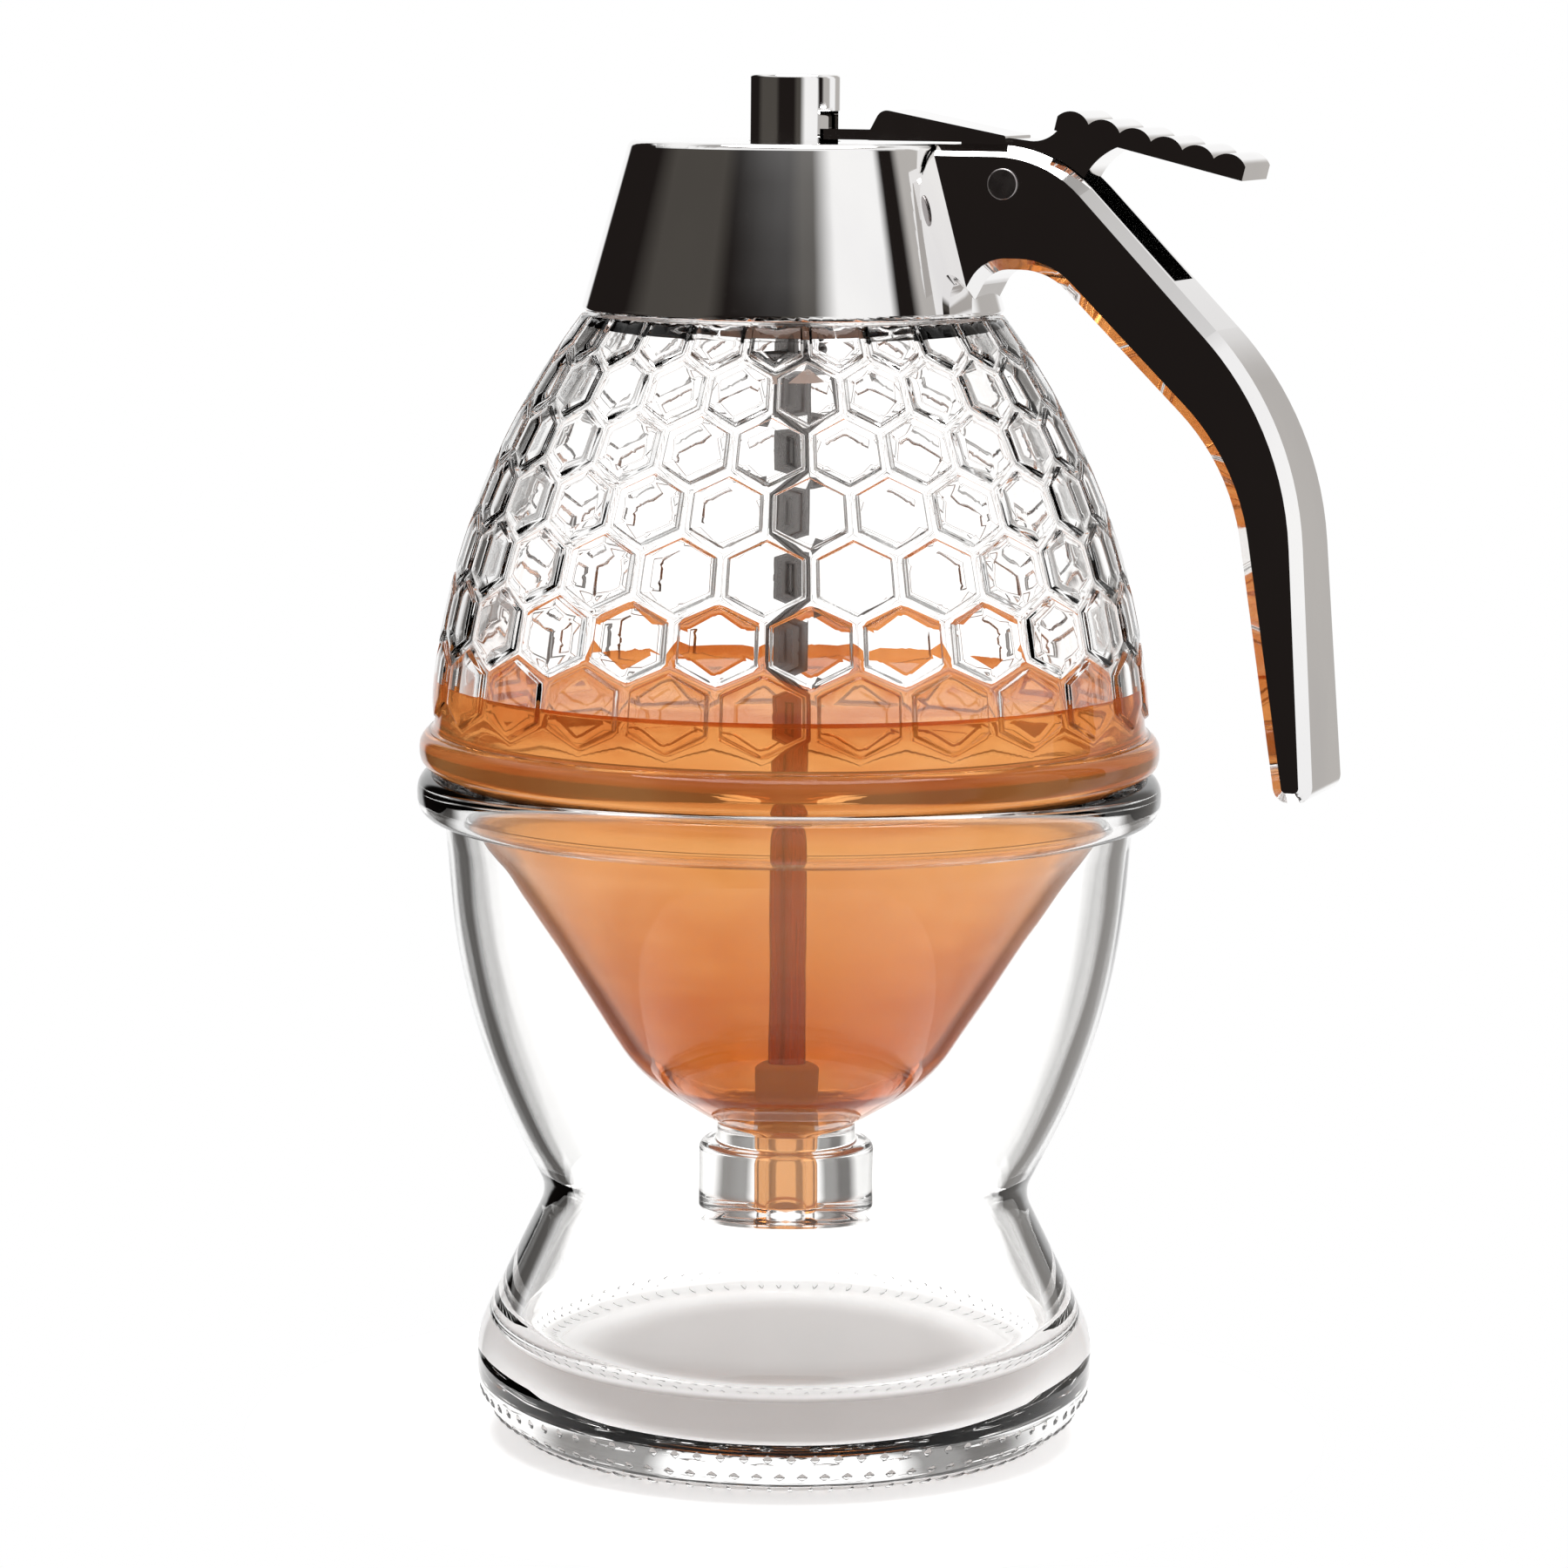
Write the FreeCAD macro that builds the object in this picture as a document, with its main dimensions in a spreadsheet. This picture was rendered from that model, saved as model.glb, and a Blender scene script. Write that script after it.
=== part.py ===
import FreeCAD, Part
import os
from math import atan2, cos, hypot, pi, radians, sin, sqrt
import Sketcher

# Honey dispenser: a glass stand, a glass jar that hangs in its rim, and a screw cap with a pistol
# handle.  Pressing the thumb lever lifts a spring-loaded rod, whose stopper opens the jar's outlet.
# Frame: millimetres, origin at the centre of the stand's underside, +Z up, +X towards the handle.

SIZES = [
    # stand: corners of its side view, each rounded
    ("rim_r", 51.1, "bead of the rim"),
    ("rim_curve", 2.7, "rounding of the bead"),
    ("rim_low_z", 86.0, "underside of the rim's bead"),
    ("rim_z", 93.0, "top of the stand"),
    ("rim_overhang", 3.8, "how far the bead stands out over the belly"),
    ("collar_top_r", "=rim_r - rim_overhang", "belly under the rim"),
    ("foot_inset", 8.2, "how far the foot lies inside the bead"),
    ("foot_r", "=rim_r - foot_inset", "foot, before rounding"),
    ("foot_curve", 10.2, "rounding from the underside to the foot"),
    ("foot_top_z", 13.9, "corner over the foot"),
    ("foot_top_curve", 14.0, "rounding of that corner"),
    ("waist_inset", 18.2, "how far the waist lies inside the bead"),
    ("waist_r", "=rim_r - waist_inset", "corner of the waist"),
    ("waist_z", 34.3, "height of the waist"),
    ("waist_curve", 5.5, "rounding of the waist"),
    ("belly_inset", 6.2, "how far the belly's corner lies inside the bead"),
    ("belly_r", "=rim_r - belly_inset", "corner of the belly"),
    ("belly_z", 57.8, "height of the belly's corner"),
    ("belly_curve", 96.0, "rounding of the belly"),
    ("stand_wall", 3.0, "glass wall of the stand"),
    ("floor_z", 11.7, "inside floor of the stand"),
    ("floor_curve", 4.5, "rounding between floor and wall"),
    # jar: egg-shaped glass with a flange, a bowl and an outlet spout
    ("seat_gap", 0.2, "clearance at rest between pieces that lie on each other"),
    ("flange_inset", 0.3, "how far the flange on the stand's rim stays inside the rim's bead"),
    ("flange_r", "=rim_r - flange_inset", "flange that rests on the stand"),
    ("flange_height", 5.3, "height of the flange"),
    ("flange_edge", 2.2, "rounding of the flange's edge"),
    ("egg_curve", 101.4, "radius of the egg's long curve"),
    ("egg_inset", 1.9, "how far the egg lies inside the flange"),
    ("egg_r", "=flange_r - egg_inset", "widest part of the egg, at the centre of its curve"),
    ("egg_z", 93.5, "centre height of the egg's long curve"),
    ("shoulder_z", 155.2, "shoulder under the cap"),
    ("neck_r", 19.6, "neck under the cap, root of its thread"),
    ("neck_z", 168.5, "rim of the neck"),
    ("mouth_r", 17.0, "mouth of the jar"),
    ("jar_wall", 3.0, "glass wall of the egg"),
    ("bowl_gap", 0.7, "clearance between the bowl and the bore of the stand"),
    ("bowl_r", "=collar_top_r - stand_wall - bowl_gap", "bowl under the flange"),
    ("bowl_z", 86.6, "corner under the bowl's upper part"),
    ("bowl_curve", 16.0, "rounding of that corner"),
    ("bowl_low_r", 20.6, "corner near the bowl's bottom"),
    ("bowl_low_z", 50.9, "height of that corner"),
    ("bowl_low_curve", 22.0, "rounding of that corner"),
    ("bowl_end_r", 12.0, "bottom of the bowl"),
    ("bowl_end_z", 45.6, "height of the bowl's bottom"),
    ("bowl_wall", 2.8, "glass wall of the bowl"),
    ("spout_r", 12.1, "outlet spout"),
    ("spout_z", 32.0, "lower end of the spout"),
    ("spout_height", 9.6, "height of the spout's wide part"),
    ("spout_edge", 1.2, "rounding of the spout's edges"),
    ("spout_neck_r", 9.6, "groove between spout and bowl"),
    ("outlet_r", 2.75, "outlet bore"),
    ("outlet_z", 42.6, "lower end of the stopper's conical seat"),
    ("seat_top_r", 7.4, "upper end of the seat"),
    ("seat_top_z", 46.4, "height of the seat's upper end"),
    # honeycomb relief on the egg
    ("cell_count", 24.0, "cells in each row"),
    ("cell_rows", 7.0, "rows of cells"),
    ("cell_height", 0.62, "height of a cell over the grooves"),
    ("cell_bevel", 1.0, "width of the bevel round each cell"),
    ("cell_phase", 0.8, "direction of the first cell of the lowest row, degrees"),
    ("row_first", 7.1, "position of the lowest row along the egg's curve, degrees"),
    ("row_pitch", 5.15, "pitch of the lowest two rows, degrees"),
    ("row_taper", 0.13, "loss of pitch from row to row, degrees"),
    ("relief_depth", 0.9, "how far the relief is set into the egg"),
    # cap: cone and handle in one moulding
    ("cap_low_r", 28.9, "lower edge of the cap"),
    ("cap_top_r", 22.4, "upper edge of the cap"),
    ("cap_z", 155.7, "lower edge of the cap"),
    ("cap_top_z", 178.7, "top face of the cap and the handle's root"),
    ("cap_wall", 1.55, "wall of the cap"),
    ("cap_edge", 1.1, "rounding of the cap's upper edge"),
    ("post_boss_r", 8.5, "boss round the plunger's hole"),
    ("post_boss_height", 1.6, "depth of that boss under the top wall"),
    # handle, side view
    ("handle_bend_x", 38.1, "where the handle's back leaves the top face"),
    ("handle_bend_curve", 18.0, "radius of that bend"),
    ("handle_knee_x", 72.5, "knee of the handle's back"),
    ("handle_knee_z", 143.2, "height of that knee"),
    ("handle_knee_curve", 45.0, "radius of the knee"),
    ("handle_end_x", 76.1, "back of the handle at its lower end"),
    ("handle_end_z", 93.2, "lower end of the handle"),
    ("arch_foot_x", 26.4, "start of the arch at the cap"),
    ("arch_left_x", 29.9, "left corner of the arch"),
    ("arch_right_x", 37.7, "right corner of the arch"),
    ("arch_z", 162.3, "top of the arch"),
    ("arch_left_curve", 4.0, "rounding of the arch next to the cap"),
    ("arch_right_curve", 9.0, "rounding of the arch next to the grip"),
    ("palm_knee_x", 63.5, "knee of the palm side"),
    ("palm_knee_z", 137.2, "height of the palm side's knee"),
    ("palm_knee_curve", 30.0, "radius of the palm side's knee"),
    ("palm_end_x", 70.9, "palm side at the lower end"),
    ("handle_tip_curve", 2.2, "rounding of the lower end"),
    ("handle_width", 12.2, "width of the handle at its top"),
    ("handle_low_width", 18.0, "width of the handle at its lower end"),
    ("handle_bevel", 1.5, "bevel along the handle's back and palm side"),
    ("slot_width", 8.6, "slot for the lever in the handle's top and back"),
    ("slot_start_x", 24.3, "end of the slot next to the cap"),
    ("slot_floor_z", 167.0, "floor of the slot under the pivot"),
    ("slot_end_x", 55.0, "lower end of the slot in the back"),
    ("slot_depth", 5.5, "depth of the slot in the sloping back"),
    # lever
    ("pivot_x", 31.7, "lever's pivot"),
    ("pivot_z", 173.6, "height of the pivot"),
    ("pin_r", 1.5, "pivot pin"),
    ("pin_head_r", 2.1, "pin's heads"),
    ("pin_head_height", 0.4, "height of the pin's heads"),
    ("running_fit", 0.08, "radial clearance of turning and sliding fits"),
    ("press_fit", 0.03, "radial clearance of pressed pieces"),
    ("arm_gap", 0.35, "clearance between the arm and the top face"),
    ("arm_tip_x", 11.9, "foot of the arm's front end"),
    ("arm_top_x", 14.2, "top of the arm's front end"),
    ("arm_tip_height", 4.2, "height of the arm at its front end"),
    ("arm_end_height", 0.9, "height of the arm over the pivot"),
    ("arm_width", 11.0, "width of the arm"),
    ("web_gap", 0.45, "clearance between the lever's web and the slot's walls"),
    ("hub_r", 4.0, "hub round the pivot"),
    ("tongue_width", 6.0, "tongue that reaches into the plunger's slot"),
    ("tongue_thickness", 1.4, "thickness of the tongue"),
    ("tongue_end_x", 1.2, "end of the tongue"),
    ("toe_length", 3.0, "raised toe at the tongue's end"),
    ("toe_gap", 0.3, "clearance between the toe and the slot's roof"),
    ("pad_front_x", 38.6, "front end of the thumb pad"),
    ("pad_front_z", 180.8, "underside of the pad at its front end"),
    ("pad_length", 26.5, "length of the pad"),
    ("pad_slope", 13.6, "slope of the pad, degrees"),
    ("pad_thickness", 1.9, "pad up to the valleys of its scallops"),
    ("pad_width", 12.2, "width of the pad"),
    ("scallop_count", 6.0, "scallops across the pad"),
    ("scallop_height", 1.15, "height of a scallop"),
    ("stem_front_x", 34.2, "front of the stem at the top face"),
    ("stem_back_x", 42.2, "back of the stem at the slot"),
    ("stem_back_z", 174.6, "height of the stem's back at the slot"),
    # plunger
    ("post_r", 6.15, "post on the cap"),
    ("post_top_z", 187.7, "top of the post"),
    ("post_low_z", 171.5, "lower end of the post"),
    ("post_edge", 0.5, "bevel of the post's upper edge"),
    ("post_slot_width", 7.4, "slot that takes the tongue"),
    ("post_slot_roof_z", 182.8, "roof of that slot"),
    ("post_slot_floor_z", 178.0, "floor of that slot"),
    ("post_slot_end_x", 0.2, "inner end of that slot"),
    ("rod_r", 2.5, "rod"),
    ("rod_top_z", 176.0, "upper end of the rod, inside the post"),
    ("rod_low_z", 48.4, "lower end of the rod, inside the stopper"),
    ("collar_r", 5.8, "spring collar on the rod"),
    ("collar_z", 145.6, "underside of the collar"),
    ("collar_height", 2.4, "height of the collar"),
    ("stopper_r", 4.3, "silicone stopper"),
    ("stopper_top_z", 53.5, "top of the stopper"),
    ("stopper_gap", 0.3, "clearance between stopper and seat at rest"),
    ("stopper_nose_r", 2.2, "flat nose of the stopper"),
    # liner, gasket, guide and spring
    ("liner_bore_r", 20.8, "bore of the liner, over the neck's thread"),
    ("liner_wall", 1.4, "wall of the liner"),
    ("liner_gap", 0.05, "clearance between liner and cap"),
    ("liner_flange", 1.5, "height of the liner's lower flange"),
    ("gasket_height", 1.4, "sealing ring on the jar's rim"),
    ("well_r", 6.7, "well in the liner's disc for the post"),
    ("well_wall", 1.5, "wall of the well"),
    ("well_floor_z", 171.2, "floor of the well"),
    ("guide_r", 4.0, "rod guide in the floor of the well"),
    ("guide_flange_r", 6.2, "flange of the rod guide"),
    ("guide_flange", 1.4, "height of that flange"),
    ("spring_r", 4.3, "mean radius of the spring"),
    ("wire_r", 0.45, "spring wire"),
    ("spring_turns", 6.0, "open turns of the spring"),
    ("spring_end_pitch", 1.4, "pitch of the closed turn at each end"),
    ("spring_seat", 0.1, "clearance at the spring's ends"),
]


class Size:
    """A length with the sheet expression that gives it, so both stay the same."""

    def __init__(self, value, text):
        self.value = float(value)
        self.text = text

    @staticmethod
    def of(thing):
        if isinstance(thing, Size):
            return thing
        return Size(thing, repr(float(thing)))

    def __add__(self, other):
        other = Size.of(other)
        return Size(self.value + other.value, f"({self.text} + {other.text})")

    def __radd__(self, other):
        return Size.of(other) + self

    def __sub__(self, other):
        other = Size.of(other)
        return Size(self.value - other.value, f"({self.text} - {other.text})")

    def __rsub__(self, other):
        return Size.of(other) - self

    def __mul__(self, other):
        other = Size.of(other)
        return Size(self.value * other.value, f"({self.text} * {other.text})")

    def __rmul__(self, other):
        return Size.of(other) * self

    def __truediv__(self, other):
        other = Size.of(other)
        return Size(self.value / other.value, f"({self.text} / {other.text})")

    def __neg__(self):
        return Size(-self.value, f"(-{self.text})")


def root(size):
    return Size(sqrt(size.value), f"sqrt({size.text})")


def sine(size):
    return Size(sin(radians(size.value)), f"sin({size.text} * 1 deg)")


def cosine(size):
    return Size(cos(radians(size.value)), f"cos({size.text} * 1 deg)")


doc = FreeCAD.newDocument("honey_dispenser")
sheet = doc.addObject("Spreadsheet::Sheet", "Sizes")
for row, (alias, value, note) in enumerate(SIZES, start=1):
    sheet.set(f"A{row}", note)
    sheet.set(f"B{row}", str(value))
    sheet.setAlias(f"B{row}", alias)
doc.recompute()
size = {alias: Size(getattr(sheet, alias), f"Sizes.{alias}") for alias, value, note in SIZES}


def amount(alias):
    return size[alias].value


def origin_plane(body, role):
    for feature in body.Origin.OriginFeatures:
        if feature.Role == role:
            return feature
    raise ValueError(role)


def arc_through(start, end, radius, bow):
    """Arc between two points; bow +1 puts it on the left of the way from start to end."""
    middle = (start + end) * 0.5
    way = end - start
    left = FreeCAD.Vector(-way.y, way.x, 0)
    left.normalize()
    half = way.Length / 2
    rise = sqrt(max(radius * radius - half * half, 0.0))
    centre = middle - left * (rise * bow)
    first = atan2(start.y - centre.y, start.x - centre.x)
    last = atan2(end.y - centre.y, end.x - centre.x)
    circle = Part.Circle(centre, FreeCAD.Vector(0, 0, 1), radius)
    if bow > 0:
        return Part.ArcOfCircle(circle, last, first), True
    return Part.ArcOfCircle(circle, first, last), False


def draw(sketch, outline):
    """Close an outline of corners; a corner is (x, y) or (x, y, radius, bow) for the way to the
    next corner.  Every corner and radius is bound to the sheet."""
    corners = [(Size.of(c[0]), Size.of(c[1])) for c in outline]
    count = len(outline)
    points = [FreeCAD.Vector(x.value, y.value, 0) for x, y in corners]
    ends = []
    for i, corner in enumerate(outline):
        start = points[i]
        end = points[(i + 1) % count]
        if len(corner) == 4:
            radius = Size.of(corner[2])
            curve, turned = arc_through(start, end, radius.value, corner[3])
            index = sketch.addGeometry(curve, False)
            ends.append((index, 2, 1) if turned else (index, 1, 2))
            rule = sketch.addConstraint(Sketcher.Constraint("Radius", index, radius.value))
            sketch.setExpression(f"Constraints[{rule}]", radius.text)
        else:
            index = sketch.addGeometry(Part.LineSegment(start, end), False)
            ends.append((index, 1, 2))
    for i in range(count):
        index, first, last = ends[i]
        after, after_first, after_last = ends[(i + 1) % count]
        sketch.addConstraint(Sketcher.Constraint("Coincident", index, last, after, after_first))
    for i, (x, y) in enumerate(corners):
        index, first, last = ends[i]
        for kind, where in (("DistanceX", x), ("DistanceY", y)):
            if abs(where.value) < 1e-9:
                axis = -2 if kind == "DistanceX" else -1
                sketch.addConstraint(Sketcher.Constraint("PointOnObject", index, first, axis))
                continue
            rule = sketch.addConstraint(
                Sketcher.Constraint(kind, -1, 1, index, first, where.value))
            sketch.setExpression(f"Constraints[{rule}]", where.text)


def body(label):
    made = doc.addObject("PartDesign::Body", label)
    made.Label = label
    return made


def sketch_in(owner, role, outline, offset=None):
    made = owner.newObject("Sketcher::SketchObject", f"{owner.Name}_sketch")
    made.AttachmentSupport = [(origin_plane(owner, role), "")]
    made.MapMode = "FlatFace"
    if offset is not None:
        made.AttachmentOffset = FreeCAD.Placement(FreeCAD.Vector(0, 0, offset.value),
                                                  FreeCAD.Rotation())
        made.setExpression("AttachmentOffset.Base.z", offset.text)
    draw(made, outline)
    doc.recompute()
    return made


def revolve(owner, outline, cut=False):
    """Turn an outline of (radius, height) corners about +Z."""
    sketch = sketch_in(owner, "XZ_Plane", outline)
    kind = "PartDesign::Groove" if cut else "PartDesign::Revolution"
    made = owner.newObject(kind, f"{owner.Name}_turn")
    made.Profile = sketch
    made.ReferenceAxis = (sketch, ["V_Axis"])
    made.Angle = 360
    doc.recompute()
    return made


def pad(owner, role, outline, width):
    """Push an outline out to both sides of its plane."""
    sketch = sketch_in(owner, role, outline)
    made = owner.newObject("PartDesign::Pad", f"{owner.Name}_pad")
    made.Profile = sketch
    made.Midplane = True
    made.Length = width.value
    made.setExpression("Length", width.text)
    doc.recompute()
    return made


def pocket(owner, role, outline, width, offset=None):
    """Cut an outline out of the solid to both sides of its plane."""
    sketch = sketch_in(owner, role, outline, offset)
    made = owner.newObject("PartDesign::Pocket", f"{owner.Name}_pocket")
    made.Profile = sketch
    before = owner.Shape.Volume
    made.Midplane = True
    made.Length = width.value
    made.setExpression("Length", width.text)
    doc.recompute()
    if owner.Shape.Volume > before - 1e-3:
        raise RuntimeError(f"{made.Name} cuts nothing")
    return made


def turned(label, outline):
    made = body(label)
    revolve(made, outline)
    return made


def rounded(corners):
    """Outline of straight sides with tangent arcs; a corner is (x, y) or (x, y, radius)."""
    outline = []
    count = len(corners)
    for i, corner in enumerate(corners):
        x = Size.of(corner[0])
        y = Size.of(corner[1])
        if len(corner) == 2:
            outline.append((x, y))
            continue
        sides = []
        for other in (corners[i - 1], corners[(i + 1) % count]):
            dx = Size.of(other[0]) - x
            dy = Size.of(other[1]) - y
            length = root(dx * dx + dy * dy)
            sides.append((dx / length, dy / length))
        (ax, ay), (bx, by) = sides
        cosine_of_turn = ax * bx + ay * by
        run = Size.of(corner[2]) * root((1 + cosine_of_turn) / (1 - cosine_of_turn))
        left_turn = ax.value * by.value - ay.value * bx.value < 0
        outline.append((x + ax * run, y + ay * run, corner[2], -1 if left_turn else 1))
        outline.append((x + bx * run, y + by * run))
    return outline


def build_stand():
    wall = size["stand_wall"]
    foot_r = size["foot_r"]
    rim_z = size["rim_z"]
    bore_r = size["collar_top_r"] - wall
    return turned("stand", rounded([
        (0, 0),
        (foot_r, 0, size["foot_curve"]),
        (foot_r, size["foot_top_z"], size["foot_top_curve"]),
        (size["waist_r"], size["waist_z"], size["waist_curve"]),
        (size["belly_r"], size["belly_z"], size["belly_curve"]),
        (size["collar_top_r"], size["rim_low_z"]),
        (size["rim_r"], size["rim_low_z"] + 1.2, size["rim_curve"]),
        (size["rim_r"], rim_z, size["rim_curve"]),
        (bore_r, rim_z, 0.8),
        (bore_r, size["rim_low_z"]),
        (size["belly_r"] - wall * 1.05, size["belly_z"], size["belly_curve"]),
        (size["waist_r"] - wall * 1.12, size["waist_z"], size["waist_curve"] + wall),
        (foot_r - wall * 1.3, size["floor_z"], size["floor_curve"]),
        (0, size["floor_z"]),
    ]))


def egg_radius(height, grow=0):
    """Radius of the egg at a height, the long curve moved out by grow."""
    curve = size["egg_curve"] + grow
    rise = height - size["egg_z"]
    return size["egg_r"] - size["egg_curve"] + root(curve * curve - rise * rise)


def egg_height(degrees_up):
    return size["egg_z"] + size["egg_curve"] * sine(degrees_up)


def jar_outside():
    """Glass of the jar without its inside, as a turned solid."""
    flange_z = size["rim_z"] + size["seat_gap"]
    flange_top = flange_z + size["flange_height"]
    ledge_z = egg_height(size["row_first"] - size["row_pitch"] / 3)
    depth = size["relief_depth"]
    shoulder_z = size["shoulder_z"]
    neck_r = size["neck_r"]
    shape = body("jar_outside")
    lower = rounded([
        (0, size["spout_z"]),
        (size["spout_r"], size["spout_z"], size["spout_edge"]),
        (size["spout_r"], size["spout_z"] + size["spout_height"], size["spout_edge"]),
        (size["spout_neck_r"], size["spout_z"] + size["spout_height"]),
        (size["spout_neck_r"], size["bowl_end_z"] - 1.2),
        (size["bowl_end_r"], size["bowl_end_z"]),
        (size["bowl_low_r"], size["bowl_low_z"], size["bowl_low_curve"]),
        (size["bowl_r"], size["bowl_z"], size["bowl_curve"]),
        (size["bowl_r"], flange_z),
        (size["flange_r"], flange_z, size["flange_edge"]),
        (size["flange_r"], flange_top, size["flange_edge"]),
        (egg_radius(flange_top), flange_top),
    ])
    lower[-1] = (egg_radius(flange_top), flange_top, size["egg_curve"], -1)
    upper = [
        (egg_radius(ledge_z), ledge_z),
        (egg_radius(ledge_z, -depth), ledge_z, size["egg_curve"] - depth, -1),
        (egg_radius(shoulder_z, -depth), shoulder_z),
        (neck_r, shoulder_z),
        (neck_r, size["neck_z"]),
        (0, size["neck_z"]),
    ]
    revolve(shape, lower + upper)
    return shape


def jar_inside():
    """The space inside the jar, as a turned solid."""
    wall = size["jar_wall"]
    bowl = size["bowl_wall"]
    flange_top = size["rim_z"] + size["seat_gap"] + size["flange_height"]
    shoulder_z = size["shoulder_z"] - wall
    shape = body("jar_inside")
    outline = rounded([
        (0, size["spout_z"] - 1),
        (size["outlet_r"], size["spout_z"] - 1),
        (size["outlet_r"], size["outlet_z"]),
        (size["seat_top_r"], size["seat_top_z"]),
        (size["bowl_low_r"] - bowl * 0.7, size["bowl_low_z"] + bowl * 0.75,
         size["bowl_low_curve"] - bowl),
        (size["bowl_r"] - bowl, size["bowl_z"] + bowl * 0.3, size["bowl_curve"] - bowl),
        (size["bowl_r"] - bowl, size["rim_z"]),
        (egg_radius(flange_top, -wall), flange_top),
    ])
    outline[-1] = (egg_radius(flange_top, -wall), flange_top, size["egg_curve"] - wall, -1)
    outline += [
        (egg_radius(shoulder_z, -wall), shoulder_z),
        (size["mouth_r"], shoulder_z + wall * 0.4),
        (size["mouth_r"], size["neck_z"] + 1),
        (0, size["neck_z"] + 1),
    ]
    revolve(shape, outline)
    return shape


def egg_point(turn, climb, height):
    """Point over the egg's surface: turn about +Z and climb along the curve, in degrees."""
    curve = amount("egg_curve") + height
    out = amount("egg_r") - amount("egg_curve") + curve * cos(radians(climb))
    return FreeCAD.Vector(out * cos(radians(turn)), out * sin(radians(turn)),
                          amount("egg_z") + curve * sin(radians(climb)))


def row_climb(row):
    return (amount("row_first") + row * amount("row_pitch")
            - amount("row_taper") * row * (row - 1) / 2)


def cell_corners(row, cell):
    """Six corners of a cell as (turn, climb), and its centre."""
    half = 180 / round(amount("cell_count"))
    turn = amount("cell_phase") + 2 * half * cell + (half if row % 2 else 0)
    climb = row_climb(row)
    above = row_climb(row + 1) - climb
    below = climb - row_climb(row - 1)
    corners = [
        (turn, climb - below * 2 / 3),
        (turn + half, climb - below / 3),
        (turn + half, climb + above / 3),
        (turn, climb + above * 2 / 3),
        (turn - half, climb + above / 3),
        (turn - half, climb - below / 3),
    ]
    return (turn, climb), corners


def honeycomb():
    """Rows of raised six-sided cells that share the bottoms of their grooves, as one solid that
    reaches into the egg; its lowest corners lie under the smooth glass."""
    rows = round(amount("cell_rows"))
    cells = round(amount("cell_count"))
    sunk = -0.55 * amount("relief_depth")
    faces = []

    def face(points):
        faces.append(Part.Face(Part.makePolygon(points + points[:1])))

    for row in range(rows):
        for cell in range(cells):
            (turn, climb), corners = cell_corners(row, cell)
            low = [egg_point(t, c, sunk if row == 0 and k in (0, 1, 5) else 0.0)
                   for k, (t, c) in enumerate(corners)]
            centre = egg_point(turn, climb, amount("cell_height"))
            normal = centre - egg_point(turn, climb, 0.0)
            normal.normalize()
            flat = [p + normal * (centre - p).dot(normal) for p in low]
            width = min((p - centre).Length for p in flat)
            inset = 1 - amount("cell_bevel") / width
            high = [centre + (p - centre) * inset for p in flat]
            face(high)
            for k in range(6):
                n = (k + 1) % 6
                face([low[k], low[n], high[n]])
                face([low[k], high[n], high[k]])
    for row, level in ((0, (5, 0, 1)), (rows - 1, (2, 3, 4))):
        climb = row_climb(row)
        hub = FreeCAD.Vector(0, 0, amount("egg_z") + amount("egg_curve") * sin(radians(climb)))
        depth = sunk if row == 0 else 0.0
        for cell in range(cells):
            corners = cell_corners(row, cell)[1]
            edge = [egg_point(*corners[k], depth) for k in level]
            face([edge[0], edge[1], hub])
            face([edge[1], edge[2], hub])
    shell = Part.makeShell(faces)
    shell.sewShape()
    solid = Part.makeSolid(shell)
    if solid.Volume < 0:
        solid.reverse()
    return solid


def build_jar():
    outside = jar_outside()
    inside = jar_inside()
    relief = doc.addObject("Part::Feature", "jar_relief")
    relief.Shape = honeycomb()
    limit = doc.addObject("Part::Cylinder", "jar_relief_limit")
    limit.setExpression("Radius", size["flange_r"].text)
    limit.setExpression("Height", size["shoulder_z"].text)
    trimmed = doc.addObject("Part::Common", "jar_relief_trimmed")
    trimmed.Base = relief
    trimmed.Tool = limit
    joined = doc.addObject("Part::Fuse", "jar_glass")
    joined.Base = outside
    joined.Tool = trimmed
    made = doc.addObject("Part::Cut", "jar")
    made.Base = joined
    made.Tool = inside
    made.Label = "jar"
    doc.recompute()
    return made


def cap_radius(height):
    """Outer radius of the cap's cone at a height."""
    rise = (height - size["cap_z"]) / (size["cap_top_z"] - size["cap_z"])
    return size["cap_low_r"] + (size["cap_top_r"] - size["cap_low_r"]) * rise


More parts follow.
